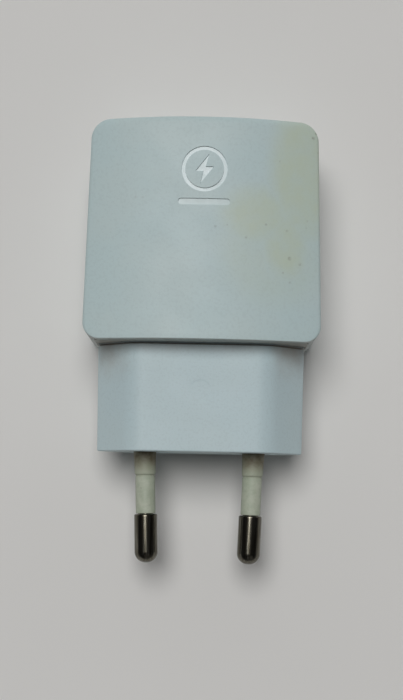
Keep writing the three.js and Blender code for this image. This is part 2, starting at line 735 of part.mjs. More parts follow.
// Sprung arm of one contact, bowed towards the plug.
function usbContact(x) {
  const reach = Math.abs(x) > 2 ? 8.4 : 7.4;
  const start = BLOCK_FRONT + 0.15;
  const sheet = CONTACT_SHEET;
  const bump = start + reach - 1.6;
  const low = TONGUE_BOTTOM - 0.35;
  const line = [
    [start, ARM_Z],
    [bump - 1.1, low + 0.18],
    [bump - 0.3, low],
    [bump + 0.3, low],
    [start + reach, low + 0.75],
  ];
  const upper = line.map(([y, z]) => [y, z + sheet]).reverse();
  const shape = outline([...line, ...upper]);
  return prismAlongX(shape, x - CONTACT_WIDTH / 2, x + CONTACT_WIDTH / 2);
}

// Rear end of one contact, through the block and down to the board.
function usbContactTail(x) {
  const sheet = CONTACT_SHEET;
  const rear = BLOCK_START - 0.7;
  const shape = outline([
    [BLOCK_FRONT, ARM_Z],
    [BLOCK_FRONT, ARM_Z + sheet],
    [rear, ARM_Z + sheet],
    [rear, BOARD_TOP],
    [rear + sheet, BOARD_TOP],
    [rear + sheet, ARM_Z],
  ]);
  return prismAlongX(shape, x - 0.4, x + 0.4);
}

// ---- insulation ----------------------------------------------------------------------------

function insulationSheet() {
  return prismAlongZ(roundedRectangle(31, 29, 1.5, 0, 19.6), 2.3, 2.6, 3);
}

function isolationBarrier() {
  return box(-15, 8.3, 21.5, 21.9, BOARD_TOP + 0.05, 18.8);
}

// ---- assembly ------------------------------------------------------------------------------

const charger = new THREE.Group();

function place(name, geometry, material) {
  const mesh = new THREE.Mesh(geometry, material);
  mesh.name = name;
  charger.add(mesh);
}

place('outer_case', outerCase(), housing);
place('shoulder_plate', shoulderPlate(), housing);
place('plug_base', plugBase(), housing);
for (const [name, side] of PIN_SIDES) {
  place(`pin_${name}`, pin(side), nickel);
  place(`pin_sleeve_${name}`, pinSleeve(side), sleeveWhite);
  place(`pin_contact_${name}`, pinContact(side), brass);
}

place('main_board', mainBoard(), boardGreen);
place('fuse_resistor', fuseResistor(), fuseGreen);
place('line_choke', lineChoke(), blackPlastic);
place('input_capacitor_board', inputCapacitorOnBoard(), capSleeve);
place('input_capacitor_plug', inputCapacitorInPlug(), capSleeve);
place('bridge_rectifier', underBoardChip(9.5, 9.5, 4.9, 3.9, 2.4, 2), blackPlastic);
place('controller_chip', underBoardChip(-4.5, 12.5, 5.0, 3.9, 1.6, 4), blackPlastic);
place('clamp_diode', underBoardChip(2.5, 16.5, 2.6, 4.2, 2.1, 1), blackPlastic);
place('rectifier_diode', underBoardChip(-9.5, 27.5, 5.0, 4.4, 2.2, 2), blackPlastic);
[[-10.5, 9.0], [-10.5, 12.0], [-10.5, 15.0], [3.0, 12.0]].forEach(([x, y], i) => {
  place(`chip_resistor_${i + 1}`, chip(x, y, 3.2, 1.6, 0.6), blackPlastic);
});
[[9.5, 15.5], [9.5, 26.5], [2.0, 20.0]].forEach(([x, y], i) => {
  place(`chip_capacitor_${i + 1}`, chip(x, y, 3.2, 1.6, 1.1), ceramicTan);
});

place('transformer_core_left', coreHalf(-1), ferrite);
place('transformer_core_right', coreHalf(1), ferrite);
place('transformer_bobbin', bobbin(), blackPlastic);
place('transformer_windings', windings(), copper);
place('transformer_winding_tape', windingTape(), tapeYellow);
place('transformer_core_tape', coreTape(), tapeYellow);

place('safety_capacitor', safetyCapacitor(), ceramicBlue);
place('output_capacitor_1', outputCapacitor(25.0), aluminium);
place('output_capacitor_2', outputCapacitor(31.8), aluminium);

place('usb_shell', usbShell(), steel);
place('usb_insulator', usbInsulator(), blackPlastic);
CONTACT_X.forEach((x, i) => {
  place(`usb_contact_${i + 1}`, usbContact(x), brass);
  place(`usb_contact_tail_${i + 1}`, usbContactTail(x), brass);
});

place('insulation_sheet', insulationSheet(), film);
place('isolation_barrier', isolationBarrier(), film);

export default charger;
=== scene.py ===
import json
from math import acos, asin, atan2, cos, hypot, pi, radians, sin, sqrt, tan

import bmesh
import bpy
from mathutils import Matrix, Vector

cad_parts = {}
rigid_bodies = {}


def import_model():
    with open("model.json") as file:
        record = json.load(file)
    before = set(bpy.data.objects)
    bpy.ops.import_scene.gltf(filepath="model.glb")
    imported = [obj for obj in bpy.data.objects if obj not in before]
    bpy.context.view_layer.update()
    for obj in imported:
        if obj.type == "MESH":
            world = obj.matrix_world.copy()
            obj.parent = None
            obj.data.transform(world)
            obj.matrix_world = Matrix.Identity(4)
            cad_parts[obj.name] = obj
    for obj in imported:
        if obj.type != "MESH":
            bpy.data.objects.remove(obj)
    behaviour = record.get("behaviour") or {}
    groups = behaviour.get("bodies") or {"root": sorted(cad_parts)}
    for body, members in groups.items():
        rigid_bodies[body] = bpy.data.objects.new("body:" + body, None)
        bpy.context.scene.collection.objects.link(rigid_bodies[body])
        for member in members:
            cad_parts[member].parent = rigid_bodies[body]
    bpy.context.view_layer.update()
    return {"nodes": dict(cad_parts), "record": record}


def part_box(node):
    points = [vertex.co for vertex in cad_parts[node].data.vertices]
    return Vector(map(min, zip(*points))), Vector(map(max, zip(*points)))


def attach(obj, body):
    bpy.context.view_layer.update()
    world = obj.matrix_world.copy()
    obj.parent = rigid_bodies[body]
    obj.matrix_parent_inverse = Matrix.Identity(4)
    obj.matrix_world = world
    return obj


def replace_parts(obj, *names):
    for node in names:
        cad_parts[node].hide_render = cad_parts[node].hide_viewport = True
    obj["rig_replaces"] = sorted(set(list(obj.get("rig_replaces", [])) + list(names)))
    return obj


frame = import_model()

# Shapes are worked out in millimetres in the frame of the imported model: +X to the right, +Y from the
# pins to the USB end, +Z out of the crowned front. finish_piece turns them into metres.
MM = 0.001

# ---- dimensions shared with the CAD model ----------------------------


def box_mm(node):
    low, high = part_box(node)
    return low / MM, high / MM


case_high = box_mm("outer_case")[1]
base_low = box_mm("plug_base")[0]
pin_low, pin_high = box_mm("pin_left")
shell_low, shell_high = box_mm("usb_shell")

CASE_LENGTH = case_high.y
CASE_DEPTH = case_high.z
MOUTH_HALF_WIDTH = 20.25
PORT_HALF_WIDTH = 19.4  # at the USB end
FRONT_DRAFT = 0.6  # loss of depth from the mouth to the USB end
CROWN_RADIUS = 62
WALL = 1.9
MOUTH_CORNER = 2.9  # corner radii seen from the front
PORT_CORNER = 3.3
CAVITY_CORNER = 0.8
END_BOW = 0.2  # the USB end falls back towards its corners
END_FLAT = 6
END_BOW_RADIUS = 250
BACK_EDGE = 2.4  # edge radii
LONG_EDGE = 0.5
MOUTH_EDGE = 0.2
CAVITY_EDGE = 0.6
END_EDGE = 1.3  # the USB end's edge rolls over this length
END_DROP = 0.5  # and falls this far
RAIL_INNER = 15.4  # the rails that hold the board's edges
RAIL_OUTER = 18.4
RAIL_ENDS = (5, 35.4)
RAIL_HEIGHT = 1.2
MARK_Y = 28.9  # middle of the ring
MARK_DEPTH = 0.25
MARK_BAR_Y = -5.6  # from the middle of the ring

NOSE_LENGTH = -base_low.y
NOSE_HALF_WIDTH = 17.65
NOSE_HALF_DEPTH = 6.85
NOSE_FLAT = 11.7  # half the width of its flat front and back
NOSE_SIDE = 0.9  # half the height of its narrow sides
NOSE_CORNER = 5
NOSE_EDGE = 0.5
NOSE_LIP = 0.22  # radius round its face
NOSE_WALL = 1.8
NOSE_TAPER = 0.013  # growth from the face to the shoulder
FACE_WALL = 2.2
SHOULDER = 2.0  # thickness of the shoulder plate
PLATE_FIT = 0.25  # between the plate's hole and the plug base
PLATE_LIP = 0.12
FLANGE = 1.4
BOSS_RADIUS = 3.5
BOSS_LENGTH = 3
RELIEF_START = 0.19  # the narrow relief round the base, measured from the shoulder
RELIEF_END = 0.4
RELIEF_DEPTH = 0.32
GATE_RADIUS = 1.9  # the gate mark on the base's front
GATE_Y = -8.3
GATE_DEPTH = 0.07

PIN_Z = (pin_low.z + pin_high.z) / 2
PIN_LENGTH = 19
PIN_RADIUS = 2.0
PIN_CORE = 1.35
PIN_TIP_RADIUS = 1.85
PIN_EDGE = 0.25
PIN_PITCH = 18.8  # between the pins at the plug face
TIP_PITCH = 17.5  # between their tips
PIN_LEAN = asin((PIN_PITCH - TIP_PITCH) / 2 / PIN_LENGTH)
PIN_TAIL = 9.5  # what stands inside the plug base
PIN_GAP = 0.1  # between the sleeve's end and the pin's head
SLEEVE_LENGTH = 10.6
SLEEVE_BORE = 1.43  # radii
SLEEVE_RADIUS = 1.7
SLEEVE_GROOVE = 1.6
COLLAR_RADIUS = 1.95
COLLAR_END_RADIUS = 1.8
COLLAR_LENGTH = 3.9
BASE_HOLE_RADIUS = 2.1

SHELL_WIDTH = shell_high.x - shell_low.x
SHELL_HEIGHT = 5.72
SHELL_SHEET = 0.3
SHELL_CORNER = 0.75
SHELL_START = shell_low.y
SHELL_MOUTH = shell_high.y
BOARD_TOP = 9.2
BOARD_THICKNESS = 1.2
BOARD_FIT = 0.15
PORT_Z = BOARD_TOP + SHELL_HEIGHT / 2
PORT_MARGIN = 0.3  # between the shell and the case's opening
PORT_OPENING_RADIUS = 0.9
PORT_LIP = 0.35

EDGE_TURN = (0.4, 0.8, 1.2, pi / 2)

# ---- meshes ----------------------------------------------------------


def mesh_object(name, vertices, faces):
    mesh = bpy.data.meshes.new(name)
    mesh.from_pydata([tuple(v) for v in vertices], [], faces)
    edit = bmesh.new()
    edit.from_mesh(mesh)
    bmesh.ops.recalc_face_normals(edit, faces=edit.faces)
    edit.to_mesh(mesh)
    edit.free()
    obj = bpy.data.objects.new(name, mesh)
    bpy.context.scene.collection.objects.link(obj)
    return obj


def loft(name, rings, closed=False):
    """Joins rings of points. A ring of one point is a pole. The first and last rings are capped, or
    joined to each other when closed."""
    vertices = []
    starts = []
    for ring in rings:
        starts.append(len(vertices))
        vertices += ring
    faces = []
    count = len(rings)
    for k in range(count if closed else count - 1):
        a, b = rings[k], rings[(k + 1) % count]
        i, j = starts[k], starts[(k + 1) % count]
        n = max(len(a), len(b))
        for s in range(n):
            t = (s + 1) % n
            if len(a) == 1:
                faces.append((i, j + s, j + t))
            elif len(b) == 1:
                faces.append((i + s, i + t, j))
            else:
                faces.append((i + s, i + t, j + t, j + s))
    if not closed:
        if len(rings[0]) > 1:
            faces.append(tuple(range(starts[0], starts[0] + len(rings[0])))[::-1])
        if len(rings[-1]) > 1:
            faces.append(tuple(range(starts[-1], starts[-1] + len(rings[-1]))))
    return mesh_object(name, vertices, faces)


def carve(target, *tools, operation="DIFFERENCE"):
    """Cuts, joins or intersects with other closed pieces, which are used up."""
    for tool in tools:
        modifier = target.modifiers.new("carve", "BOOLEAN")
        modifier.object = tool
        modifier.operation = operation
        modifier.solver = "EXACT"
        apply_modifiers(target)
        bpy.data.objects.remove(tool)
    return target


def apply_modifiers(obj):
    bpy.context.view_layer.update()
    depsgraph = bpy.context.evaluated_depsgraph_get()
    mesh = bpy.data.meshes.new_from_object(obj.evaluated_get(depsgraph))
    obj.modifiers.clear()
    old = obj.data
    obj.data = mesh
    bpy.data.meshes.remove(old)


def soften(obj, width, segments=2, angle=35):
    """Rounds every edge that turns by more than the angle."""
    modifier = obj.modifiers.new("soften", "BEVEL")
    modifier.width = width
    modifier.segments = segments
    modifier.limit_method = "ANGLE"
    modifier.angle_limit = radians(angle)
    apply_modifiers(obj)
    return obj


def quarter(steps):
    """Angles that cut a quarter turn into equal steps, both ends included."""
    return [s / steps * pi / 2 for s in range(steps + 1)]


def rounded_points(corners, steps=12, spacing=1.0, pieces=None):
    """Points round an outline of (x, y, radius) corners given anticlockwise, with the outward
    direction at each. Straight stretches are cut at the spacing, or into a number of pieces."""
    points = []
    count = len(corners)

    def straight(start, end, direction):
        parts = pieces or int((end - start).length / spacing)
        return [(start.lerp(end, s / parts), direction) for s in range(1, parts)]

    for i, (x, y, radius) in enumerate(corners):
        corner = Vector((x, y))
        before = Vector(corners[i - 1][:2])
        after = Vector(corners[(i + 1) % count][:2])
        back = (before - corner).normalized()
        ahead = (after - corner).normalized()
        half = acos(max(-1, min(1, back.dot(ahead)))) / 2
        start = corner + back * (radius / tan(half))
        centre = corner + (back + ahead).normalized() * (radius / sin(half))
        first = atan2(start.y - centre.y, start.x - centre.x)
        sweep = pi - 2 * half
        arc = []
        for s in range(steps + 1):
            a = first + sweep * s / steps
            direction = Vector((cos(a), sin(a)))
            arc.append((centre + direction * radius, direction))
        if points:
            points += straight(points[-1][0], arc[0][0], arc[0][1])
        points += arc
    return points + straight(points[-1][0], points[0][0], points[0][1])


def rounded_ring(corners, steps=8, pieces=6):
    """The same number of points for every size of an outline, so that rings of it can be joined."""
    return [tuple(p) for p, _ in rounded_points(corners, steps, pieces=pieces)]


def rounded_box_corners(width, height, radius, x=0.0, y=0.0):
    w, h = width / 2, height / 2
    signs = ((-1, -1), (1, -1), (1, 1), (-1, 1))
    return [(x + i * w, y + j * h, radius) for i, j in signs]


def block(name, x, y, z):
    """A plain box used as a tool or as one part of a joined piece."""
    vertices = [(a, b, c) for c in z for b in y for a in x]
    faces = [(0, 2, 3, 1), (4, 5, 7, 6), (0, 1, 5, 4), (2, 6, 7, 3), (0, 4, 6, 2), (1, 3, 7, 5)]
    return mesh_object(name, vertices, faces)


def revolve(name, profile, segments=96):
    """Turns (radius, y) pairs about the Y axis. A radius of 0 makes a pole."""
    rings = []
    for radius, y in profile:
        if radius == 0:
            rings.append([(0, y, 0)])
        else:
            turn = [2 * pi * s / segments for s in range(segments)]
            rings.append([(radius * cos(a), y, radius * sin(a)) for a in turn])
    return loft(name, rings, closed=profile[0][0] > 0)


MERGE_DISTANCE = 1e-4
DEGENERATE_LENGTH = 1e-5


def finish_piece(obj, slot, body, *nodes, material=None, angle=32):
    """Metres, smooth shading, finish, and which body and CAD nodes the piece belongs to."""
    edit = bmesh.new()
    edit.from_mesh(obj.data)
    bmesh.ops.remove_doubles(edit, verts=edit.verts, dist=MERGE_DISTANCE)
    bmesh.ops.dissolve_degenerate(edit, edges=edit.edges, dist=DEGENERATE_LENGTH)
    bmesh.ops.scale(edit, vec=(MM, MM, MM), verts=edit.verts)
    edit.to_mesh(obj.data)
    edit.free()
    mesh = obj.data
    mesh.polygons.foreach_set("use_smooth", [True] * len(mesh.polygons))
    mesh.set_sharp_from_angle(angle=radians(angle))
    mesh.materials.clear()
    mesh.materials.append(material or FINISHES[slot])
    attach(obj, body)
    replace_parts(obj, *nodes)
    return obj


# ---- materials -------------------------------------------------------


class Finish:
    """A node material with one Principled shader and short calls for adding nodes."""

    def __init__(self, name, roughness=0.5, metallic=0.0, **sockets):
        self.material = bpy.data.materials.new(name)
        self.material.use_nodes = True
        self.tree = self.material.node_tree
        self.shader = self.tree.nodes["Principled BSDF"]
        self.shader.inputs["Roughness"].default_value = roughness
        self.shader.inputs["Metallic"].default_value = metallic
        for socket, value in sockets.items():
            self.shader.inputs[socket.replace("_", " ")].default_value = value
        self.place = self.add("ShaderNodeTexCoord").outputs["Object"]

    def add(self, kind, inputs=None, **settings):
        node = self.tree.nodes.new(kind)
        for key, value in settings.items():
            setattr(node, key, value)
        for key, value in (inputs or {}).items():
            if isinstance(value, bpy.types.NodeSocket):
                self.tree.links.new(value, node.inputs[key])
            else:
                node.inputs[key].default_value = value
        return node

    def stretched(self, x, y, z):
        node = self.add("ShaderNodeVectorMath", {0: self.place, 1: (x, y, z)}, operation="MULTIPLY")
        return node.outputs["Vector"]

    def noise(self, size_mm, detail=2.0, roughness=0.5, vector=None, distortion=0.0):
        node = self.add("ShaderNodeTexNoise", {
            "Vector": vector or self.place, "Scale": 1 / (size_mm * MM), "Detail": detail,
            "Roughness": roughness, "Distortion": distortion,
        })
        return node.outputs["Fac"]

    def cells(self, size_mm, feature="F1", vector=None):
        node = self.add("ShaderNodeTexVoronoi", {
            "Vector": vector or self.place, "Scale": 1 / (size_mm * MM),
        }, feature=feature)
        return node.outputs["Distance"]

    def between(self, value, low, high, to_low=0.0, to_high=1.0):
        """Turns low to high into to_low to to_high, smoothly and without running past them."""
        node = self.add("ShaderNodeMapRange", {
            "Value": value, "From Min": low, "From Max": high, "To Min": to_low, "To Max": to_high,
        }, interpolation_type="SMOOTHSTEP")
        return node.outputs["Result"]

    def vary(self, noise, low=0.0, high=1.0):
        """Turns the middle of a noise's range into low to high."""
        return self.between(noise, 0.3, 0.7, low, high)

    def math(self, operation, a, b=0.0):
        return self.add("ShaderNodeMath", {0: a, 1: b}, operation=operation).outputs["Value"]

    def times(self, a, b):
        return self.math("MULTIPLY", a, b)

    def most(self, a, b):
        return self.math("MAXIMUM", a, b)

    def mix(self, factor, a, b):
        node = self.add("ShaderNodeMix", {"Factor": factor, "A": a, "B": b}, data_type="RGBA")
        return node.outputs["Result"]

    def coordinate(self, axis):
        return self.add("ShaderNodeSeparateXYZ", {0: self.place}).outputs[axis]

    def facing(self, axis):
        """How far the surface looks along an axis of the piece, from -1 to 1."""
        normal = self.add("ShaderNodeTexCoord").outputs["Normal"]
        return self.add("ShaderNodeSeparateXYZ", {0: normal}).outputs[axis]

    def blob(self, centre_mm, radius_mm, stretch=(1, 1, 1), core=0.2):
        """1 at a point on the piece, falling to 0 at the radius."""
        centre = [c * MM * s for c, s in zip(centre_mm, stretch)]
        distance = self.add("ShaderNodeVectorMath", {0: self.stretched(*stretch), 1: centre},
                            operation="DISTANCE").outputs["Value"]
        return self.between(distance, radius_mm * MM * core, radius_mm * MM, 1.0, 0.0)

    def colour(self, value):
        self.tree.links.new(value, self.shader.inputs["Base Color"])

    def rough(self, value):
        self.tree.links.new(value, self.shader.inputs["Roughness"])

    def bump(self, height, depth_mm, strength=1.0, below=None):
        inputs = {"Height": height, "Distance": depth_mm * MM, "Strength": strength}
        if below is not None:
            inputs["Normal"] = below
        node = self.add("ShaderNodeBump", inputs)
        self.tree.links.new(node.outputs["Normal"], self.shader.inputs["Normal"])
        return node.outputs["Normal"]


def srgb(red, green, blue):
    """An sRGB colour of 0 to 255 as the linear colour a shader wants."""
    linear = []
    for value in (red, green, blue):
        v = value / 255
        linear.append(v / 12.92 if v <= 0.04045 else ((v + 0.055) / 1.055) ** 2.4)
    return (*linear, 1.0)


HOUSING_WARM = srgb(194, 211, 212)
HOUSING_COOL = srgb(192, 211, 213)
BASE_WARM = srgb(196, 214, 218)
BASE_COOL = srgb(195, 214, 219)
STAIN = srgb(195, 206, 184)
# Dark and brown colours used both for real dirt and for painted shade in recesses and on shaded faces.
GRIME_AND_SHADE = srgb(96, 88, 76)
DIRT_AND_SHADE = srgb(150, 122, 98)


def grain(finish, size=0.5, depth=0.016):
    """Fine spark-eroded texture with a slight orange peel under it."""
    fine = finish.noise(size, detail=2.0, roughness=0.55)
    coarse = finish.noise(1.2, detail=1.0)
    soft = finish.bump(coarse, 0.018, 0.6)
    finish.bump(fine, depth, 0.8, below=soft)
    return fine


def housing_colour(finish, fine, warm=HOUSING_WARM, cool=HOUSING_COOL):
    """Cool white plastic, very slightly uneven, with painted shade in the pits of the grain."""
    broad = finish.noise(11, detail=2.0)
    tone = finish.mix(finish.between(broad, 0.35, 0.65), cool, warm)
    pit_shade = finish.between(fine, 0.36, 0.5, 0.12, 0.0)
    return finish.mix(pit_shade, tone, srgb(160, 174, 176))


def case_finish():
    finish = Finish("case_plastic", roughness=0.42, Specular_IOR_Level=0.3)
    fine = grain(finish)
    colour = housing_colour(finish, fine)
    # A yellowed patch over the right of the front, fading out with soft mottled edges.
    spread = finish.blob((17, 29, 0), 16, (16 / 7.5, 1, 0), core=0.45)
    for centre, radius, stretch, core, amount in (
        ((9, 21.3, 0), 6.5, (6.5 / 8, 1, 0), 0.35, 0.95),
        ((14, 16, 0), 8.5, (8.5 / 5.5, 1, 0), 0.3, 0.95),
        ((12, 15, 0), 11.5, (1, 1, 0), 0.5, 0.36),
    ):
        patch = finish.times(finish.blob(centre, radius, stretch, core), amount)
        spread = finish.most(spread, patch)
    mottle = finish.noise(3.2, detail=5.0, roughness=0.62)
    spread = finish.times(spread, finish.between(mottle, 0.28, 0.72, 0.72, 1.12))
    height = finish.coordinate("Z")
    spread = finish.times(spread, finish.between(height, 7 * MM, 21 * MM, 0.12, 1.0))
    colour = finish.mix(finish.times(spread, 0.66), colour, STAIN)
    # Scattered specks of dirt: a few large ones, and fine ones where the plastic is stained.
    ragged_edge = finish.noise(0.3, detail=2.0)
    for x, y, size, amount in (
        (18.5, 35.2, 0.42, 0.6), (14.6, 14.1, 0.5, 0.4), (16.4, 13.2, 0.42, 0.3),
        (7.2, 17.4, 0.34, 0.3), (2.0, 19.1, 0.36, 0.28), (4.0, 19.4, 0.26, 0.2),
        (14.1, 18.8, 0.34, 0.28), (13.5, 11.6, 0.3, 0.26), (14.7, 10.0, 0.32, 0.26),
        (-11.6, 24.0, 0.36, 0.16), (-10.3, 24.0, 0.3, 0.14),
    ):
        speck = finish.blob((x, y, 0), size, (1, 1, 0), core=0.1)
        speck = finish.times(speck, finish.between(ragged_edge, 0.3, 0.6, 0.3, 1.0))
        colour = finish.mix(finish.times(speck, amount), colour, GRIME_AND_SHADE)
    dots = finish.between(finish.cells(2.1, vector=finish.stretched(1, 1, 0)), 0.05, 0.15, 0.3, 0.0)
    few = finish.between(finish.noise(2.6, detail=1.0), 0.5, 0.6)
    stained = finish.between(spread, 0.1, 0.6)
    colour = finish.mix(finish.times(finish.times(dots, few), stained), colour, GRIME_AND_SHADE)
    # Painted shade on the end face at the mouth, where the surface looks towards the pins and away
    # from the key light.
    facing = finish.times(finish.facing("Y"), -1.0)
    uneven = finish.vary(finish.noise(1.6, detail=3.0), 0.6, 1.0)
    rim = finish.times(finish.between(facing, 0.25, 0.85), uneven)
    colour = finish.mix(finish.times(rim, 0.45), colour, DIRT_AND_SHADE)
    finish.colour(colour)
    wear = finish.noise(6.0, detail=3.0)
    finish.rough(finish.vary(wear, 0.4, 0.48))
    return finish.material


def mark_finish():
    """Smoother, paler floor of the sunk mark, duller in the bar than in the ring and the bolt."""
    finish = Finish("mark_plastic", roughness=0.3, Specular_IOR_Level=0.45)
    cloud = finish.noise(2.2, detail=2.0)
    pale = finish.mix(finish.vary(cloud), srgb(213, 227, 230), srgb(206, 221, 223))
    bar_top = MARK_Y + MARK_BAR_Y + 0.6
    y = finish.coordinate("Y")
    bar = finish.between(y, bar_top * MM, (bar_top + 0.3) * MM, 1.0, 0.0)
    worn = finish.vary(finish.noise(0.9, detail=3.0), 0.6, 1.0)
    finish.colour(finish.mix(finish.times(bar, worn), pale, srgb(202, 217, 218)))
    roughness = finish.vary(cloud, 0.26, 0.34)
    finish.rough(finish.math("ADD", roughness, finish.times(bar, 0.1)))
    finish.bump(finish.noise(0.3, detail=2.0), 0.004, 0.5)
    return finish.material


def plate_finish():
    """The same plastic as the case, browned by dust and by painted shade, more of it towards the
    corners.
    """
    finish = Finish("shoulder_plastic", roughness=0.45, Specular_IOR_Level=0.3)
    fine = grain(finish, 0.3, 0.008)
    colour = housing_colour(finish, fine)
    # Brown over the whole plate: dust, and painted shade on this face that looks towards the pins,
    # deeper towards the corners beside the base.
    dust = finish.noise(2.0, detail=4.0, roughness=0.65)
    across = finish.math("ABSOLUTE", finish.coordinate("X"))
    corners = finish.between(across, 9 * MM, 16 * MM, 0.0, 0.2)
    amount = finish.math("ADD", finish.vary(dust, 0.28, 0.46), corners)
    colour = finish.mix(amount, colour, DIRT_AND_SHADE)
    finish.colour(colour)
    finish.rough(finish.vary(dust, 0.4, 0.55))
    return finish.material


def base_finish():
    finish = Finish("plug_base_plastic", roughness=0.4, Specular_IOR_Level=0.32)
    fine = grain(finish, 0.4, 0.004)
    colour = housing_colour(finish, fine, BASE_WARM, BASE_COOL)
    # Painted shade in the relief at the shoulder, and a thinner film of dirt and painted shade over
    # the next two millimetres.
    y = finish.coordinate("Y")
    dust = finish.noise(3.0, detail=2.0)
    above = finish.between(y, (-RELIEF_END - 0.05) * MM, (-RELIEF_END + 0.02) * MM)
    below = finish.between(y, -RELIEF_START * MM, (-RELIEF_START + 0.05) * MM, 1.0, 0.0)
    colour = finish.mix(finish.times(finish.times(above, below), 0.7), colour, GRIME_AND_SHADE)
    patchy = finish.between(dust, 0.2, 0.8, 0.4, 1.0)
    seam = finish.times(finish.between(y, -2.2 * MM, -RELIEF_END * MM), patchy)
    colour = finish.mix(finish.times(seam, 0.22), colour, DIRT_AND_SHADE)
    # Painted shade on the upper slopes beside the flat front, near the shoulder, where the case's
    # corner shades them.
    across = finish.math("ABSOLUTE", finish.coordinate("X"))
    height = finish.coordinate("Z")
    slope_shade = finish.between(across, 11 * MM, 15 * MM)
    slope_shade = finish.times(slope_shade, finish.between(y, -8 * MM, -0.5 * MM))
    slope_shade = finish.times(slope_shade, finish.between(height, PIN_Z * MM, (PIN_Z + 2) * MM))
    colour = finish.mix(finish.times(finish.times(slope_shade, patchy), 0.42), colour, DIRT_AND_SHADE)
    for x in (-PIN_PITCH / 2, PIN_PITCH / 2):
        ring = finish.blob((x, -NOSE_LENGTH, PIN_Z), 3.2, core=0.55)
        colour = finish.mix(finish.times(ring, 0.3), colour, GRIME_AND_SHADE)
    finish.colour(colour)
    wear = finish.noise(5.0, detail=3.0)
    finish.rough(finish.vary(wear, 0.38, 0.44))
    return finish.material


def sleeve_finish():
    finish = Finish("sleeve_plastic", roughness=0.55)
    broad = finish.noise(1.8, detail=4.0, roughness=0.7)
    tone = finish.mix(finish.vary(broad), srgb(174, 184, 164), srgb(196, 203, 186))
    fine = finish.noise(0.18, detail=3.0)
    spots = finish.between(finish.noise(0.6, detail=3.0, roughness=0.7), 0.58, 0.75)
    y = finish.coordinate("Y")
    # Darker and browner towards the plug face, most of all on the collar: dirt, and painted shadow of
    # the plug base.
    root = finish.between(y, -(NOSE_LENGTH + 5.2) * MM, -(NOSE_LENGTH + 0.6) * MM, 0.1, 1.0)
    root_dirt_and_shadow = finish.times(root, finish.vary(broad, 0.7, 1.05))
    colour = finish.mix(finish.times(root_dirt_and_shadow, 0.92), tone, srgb(96, 78, 50))
    colour = finish.mix(finish.times(spots, 0.22), colour, GRIME_AND_SHADE)
    # Painted shade in the groove at the collar's step.
    from_groove = finish.math("ADD", y, (NOSE_LENGTH + COLLAR_LENGTH + 0.1) * MM)
    groove = finish.between(finish.math("ABSOLUTE", from_groove), 0.1 * MM, 0.4 * MM, 1.0, 0.0)
    colour = finish.mix(finish.times(groove, 0.12), colour, GRIME_AND_SHADE)
    finish.colour(colour)
    finish.rough(finish.vary(broad, 0.45, 0.65))
    finish.bump(fine, 0.012, 0.5)
    return finish.material


def pin_finish():
    """Darkened nickel with faint streaks drawn along the pin."""
    finish = Finish("pin_nickel", roughness=0.2, metallic=1.0)
    streaks = finish.noise(0.16, detail=2.0, vector=finish.stretched(1, 0.02, 1))
    tarnish = finish.noise(0.7, detail=3.0, roughness=0.6, vector=finish.stretched(1, 0.12, 1))
    tone = finish.mix(finish.vary(tarnish), srgb(97, 94, 84), srgb(80, 76, 65))
    rubbed = finish.between(streaks, 0.5, 0.62, 0.0, 0.6)
    finish.colour(finish.mix(rubbed, tone, srgb(140, 138, 128)))
    finish.rough(finish.vary(tarnish, 0.17, 0.23))
    finish.bump(streaks, 0.0015, 0.5)
    return finish.material


def metal_finish(name, light, dark, roughness=0.3, brushed=(1, 0.08, 1)):
    finish = Finish(name, roughness=roughness, metallic=1.0)
    lines = finish.noise(0.12, detail=3.0, roughness=0.6, vector=finish.stretched(*brushed))
    cloud = finish.noise(3.0, detail=3.0)
    finish.colour(finish.mix(finish.between(cloud, 0.35, 0.65), light, dark))
    finish.rough(finish.vary(lines, roughness - 0.08, roughness + 0.1))
    finish.bump(lines, 0.006, 0.5)
    return finish.material


def moulded_finish(name, light, dark, roughness=0.5, grain_mm=0.12, depth=0.012, metallic=0.0):
    finish = Finish(name, roughness=roughness, metallic=metallic)
    fine = finish.noise(grain_mm, detail=3.0, roughness=0.6)
    cloud = finish.noise(2.6, detail=3.0)
    finish.colour(finish.mix(finish.vary(cloud), light, dark))
    finish.rough(finish.vary(fine, roughness - 0.08, roughness + 0.1))
    finish.bump(fine, depth, 0.7)
    return finish.material


def board_finish():
    """Solder mask over routed copper, with glass cloth showing faintly through it."""
    finish = Finish("board_laminate", roughness=0.38, Specular_IOR_Level=0.5)
    weave = finish.add("ShaderNodeTexWave", {
        "Vector": finish.place, "Scale": 900.0, "Distortion": 0.4, "Detail": 1.0,
    }, bands_direction="X")
    traces = finish.add("ShaderNodeTexBrick", {
        "Vector": finish.place, "Scale": 180.0, "Mortar Size": 0.03, "Brick Width": 0.9,
        "Row Height": 0.45, "Color1": (0, 0, 0, 1), "Color2": (0, 0, 0, 1), "Mortar": (1, 1, 1, 1),
    }).outputs["Fac"]
    tone = finish.mix(finish.vary(finish.noise(7)), srgb(30, 88, 55), srgb(22, 72, 46))
    tone = finish.mix(finish.times(traces, 0.5), tone, srgb(64, 128, 78))
    finish.colour(finish.mix(finish.times(weave.outputs["Fac"], 0.12), tone, srgb(84, 140, 96)))
    finish.bump(traces, 0.03, 0.6)
    return finish.material


def winding_finish():
    """Enamelled wire laid side by side round the bobbin, which lies along X."""
    finish = Finish("copper_wire", roughness=0.3, metallic=0.85)
    turns = finish.add("ShaderNodeTexWave", {
        "Vector": finish.place, "Scale": 1 / (0.9 * MM), "Distortion": 0.3, "Detail": 1.0,
    }, bands_direction="X").outputs["Fac"]
    # Painted highlight on each turn's crest and painted shade between the turns.
    light = finish.between(turns, 0.2, 0.8)
    finish.colour(finish.mix(light, srgb(120, 58, 26), srgb(206, 118, 62)))
    finish.bump(turns, 0.12, 0.9)
    return finish.material


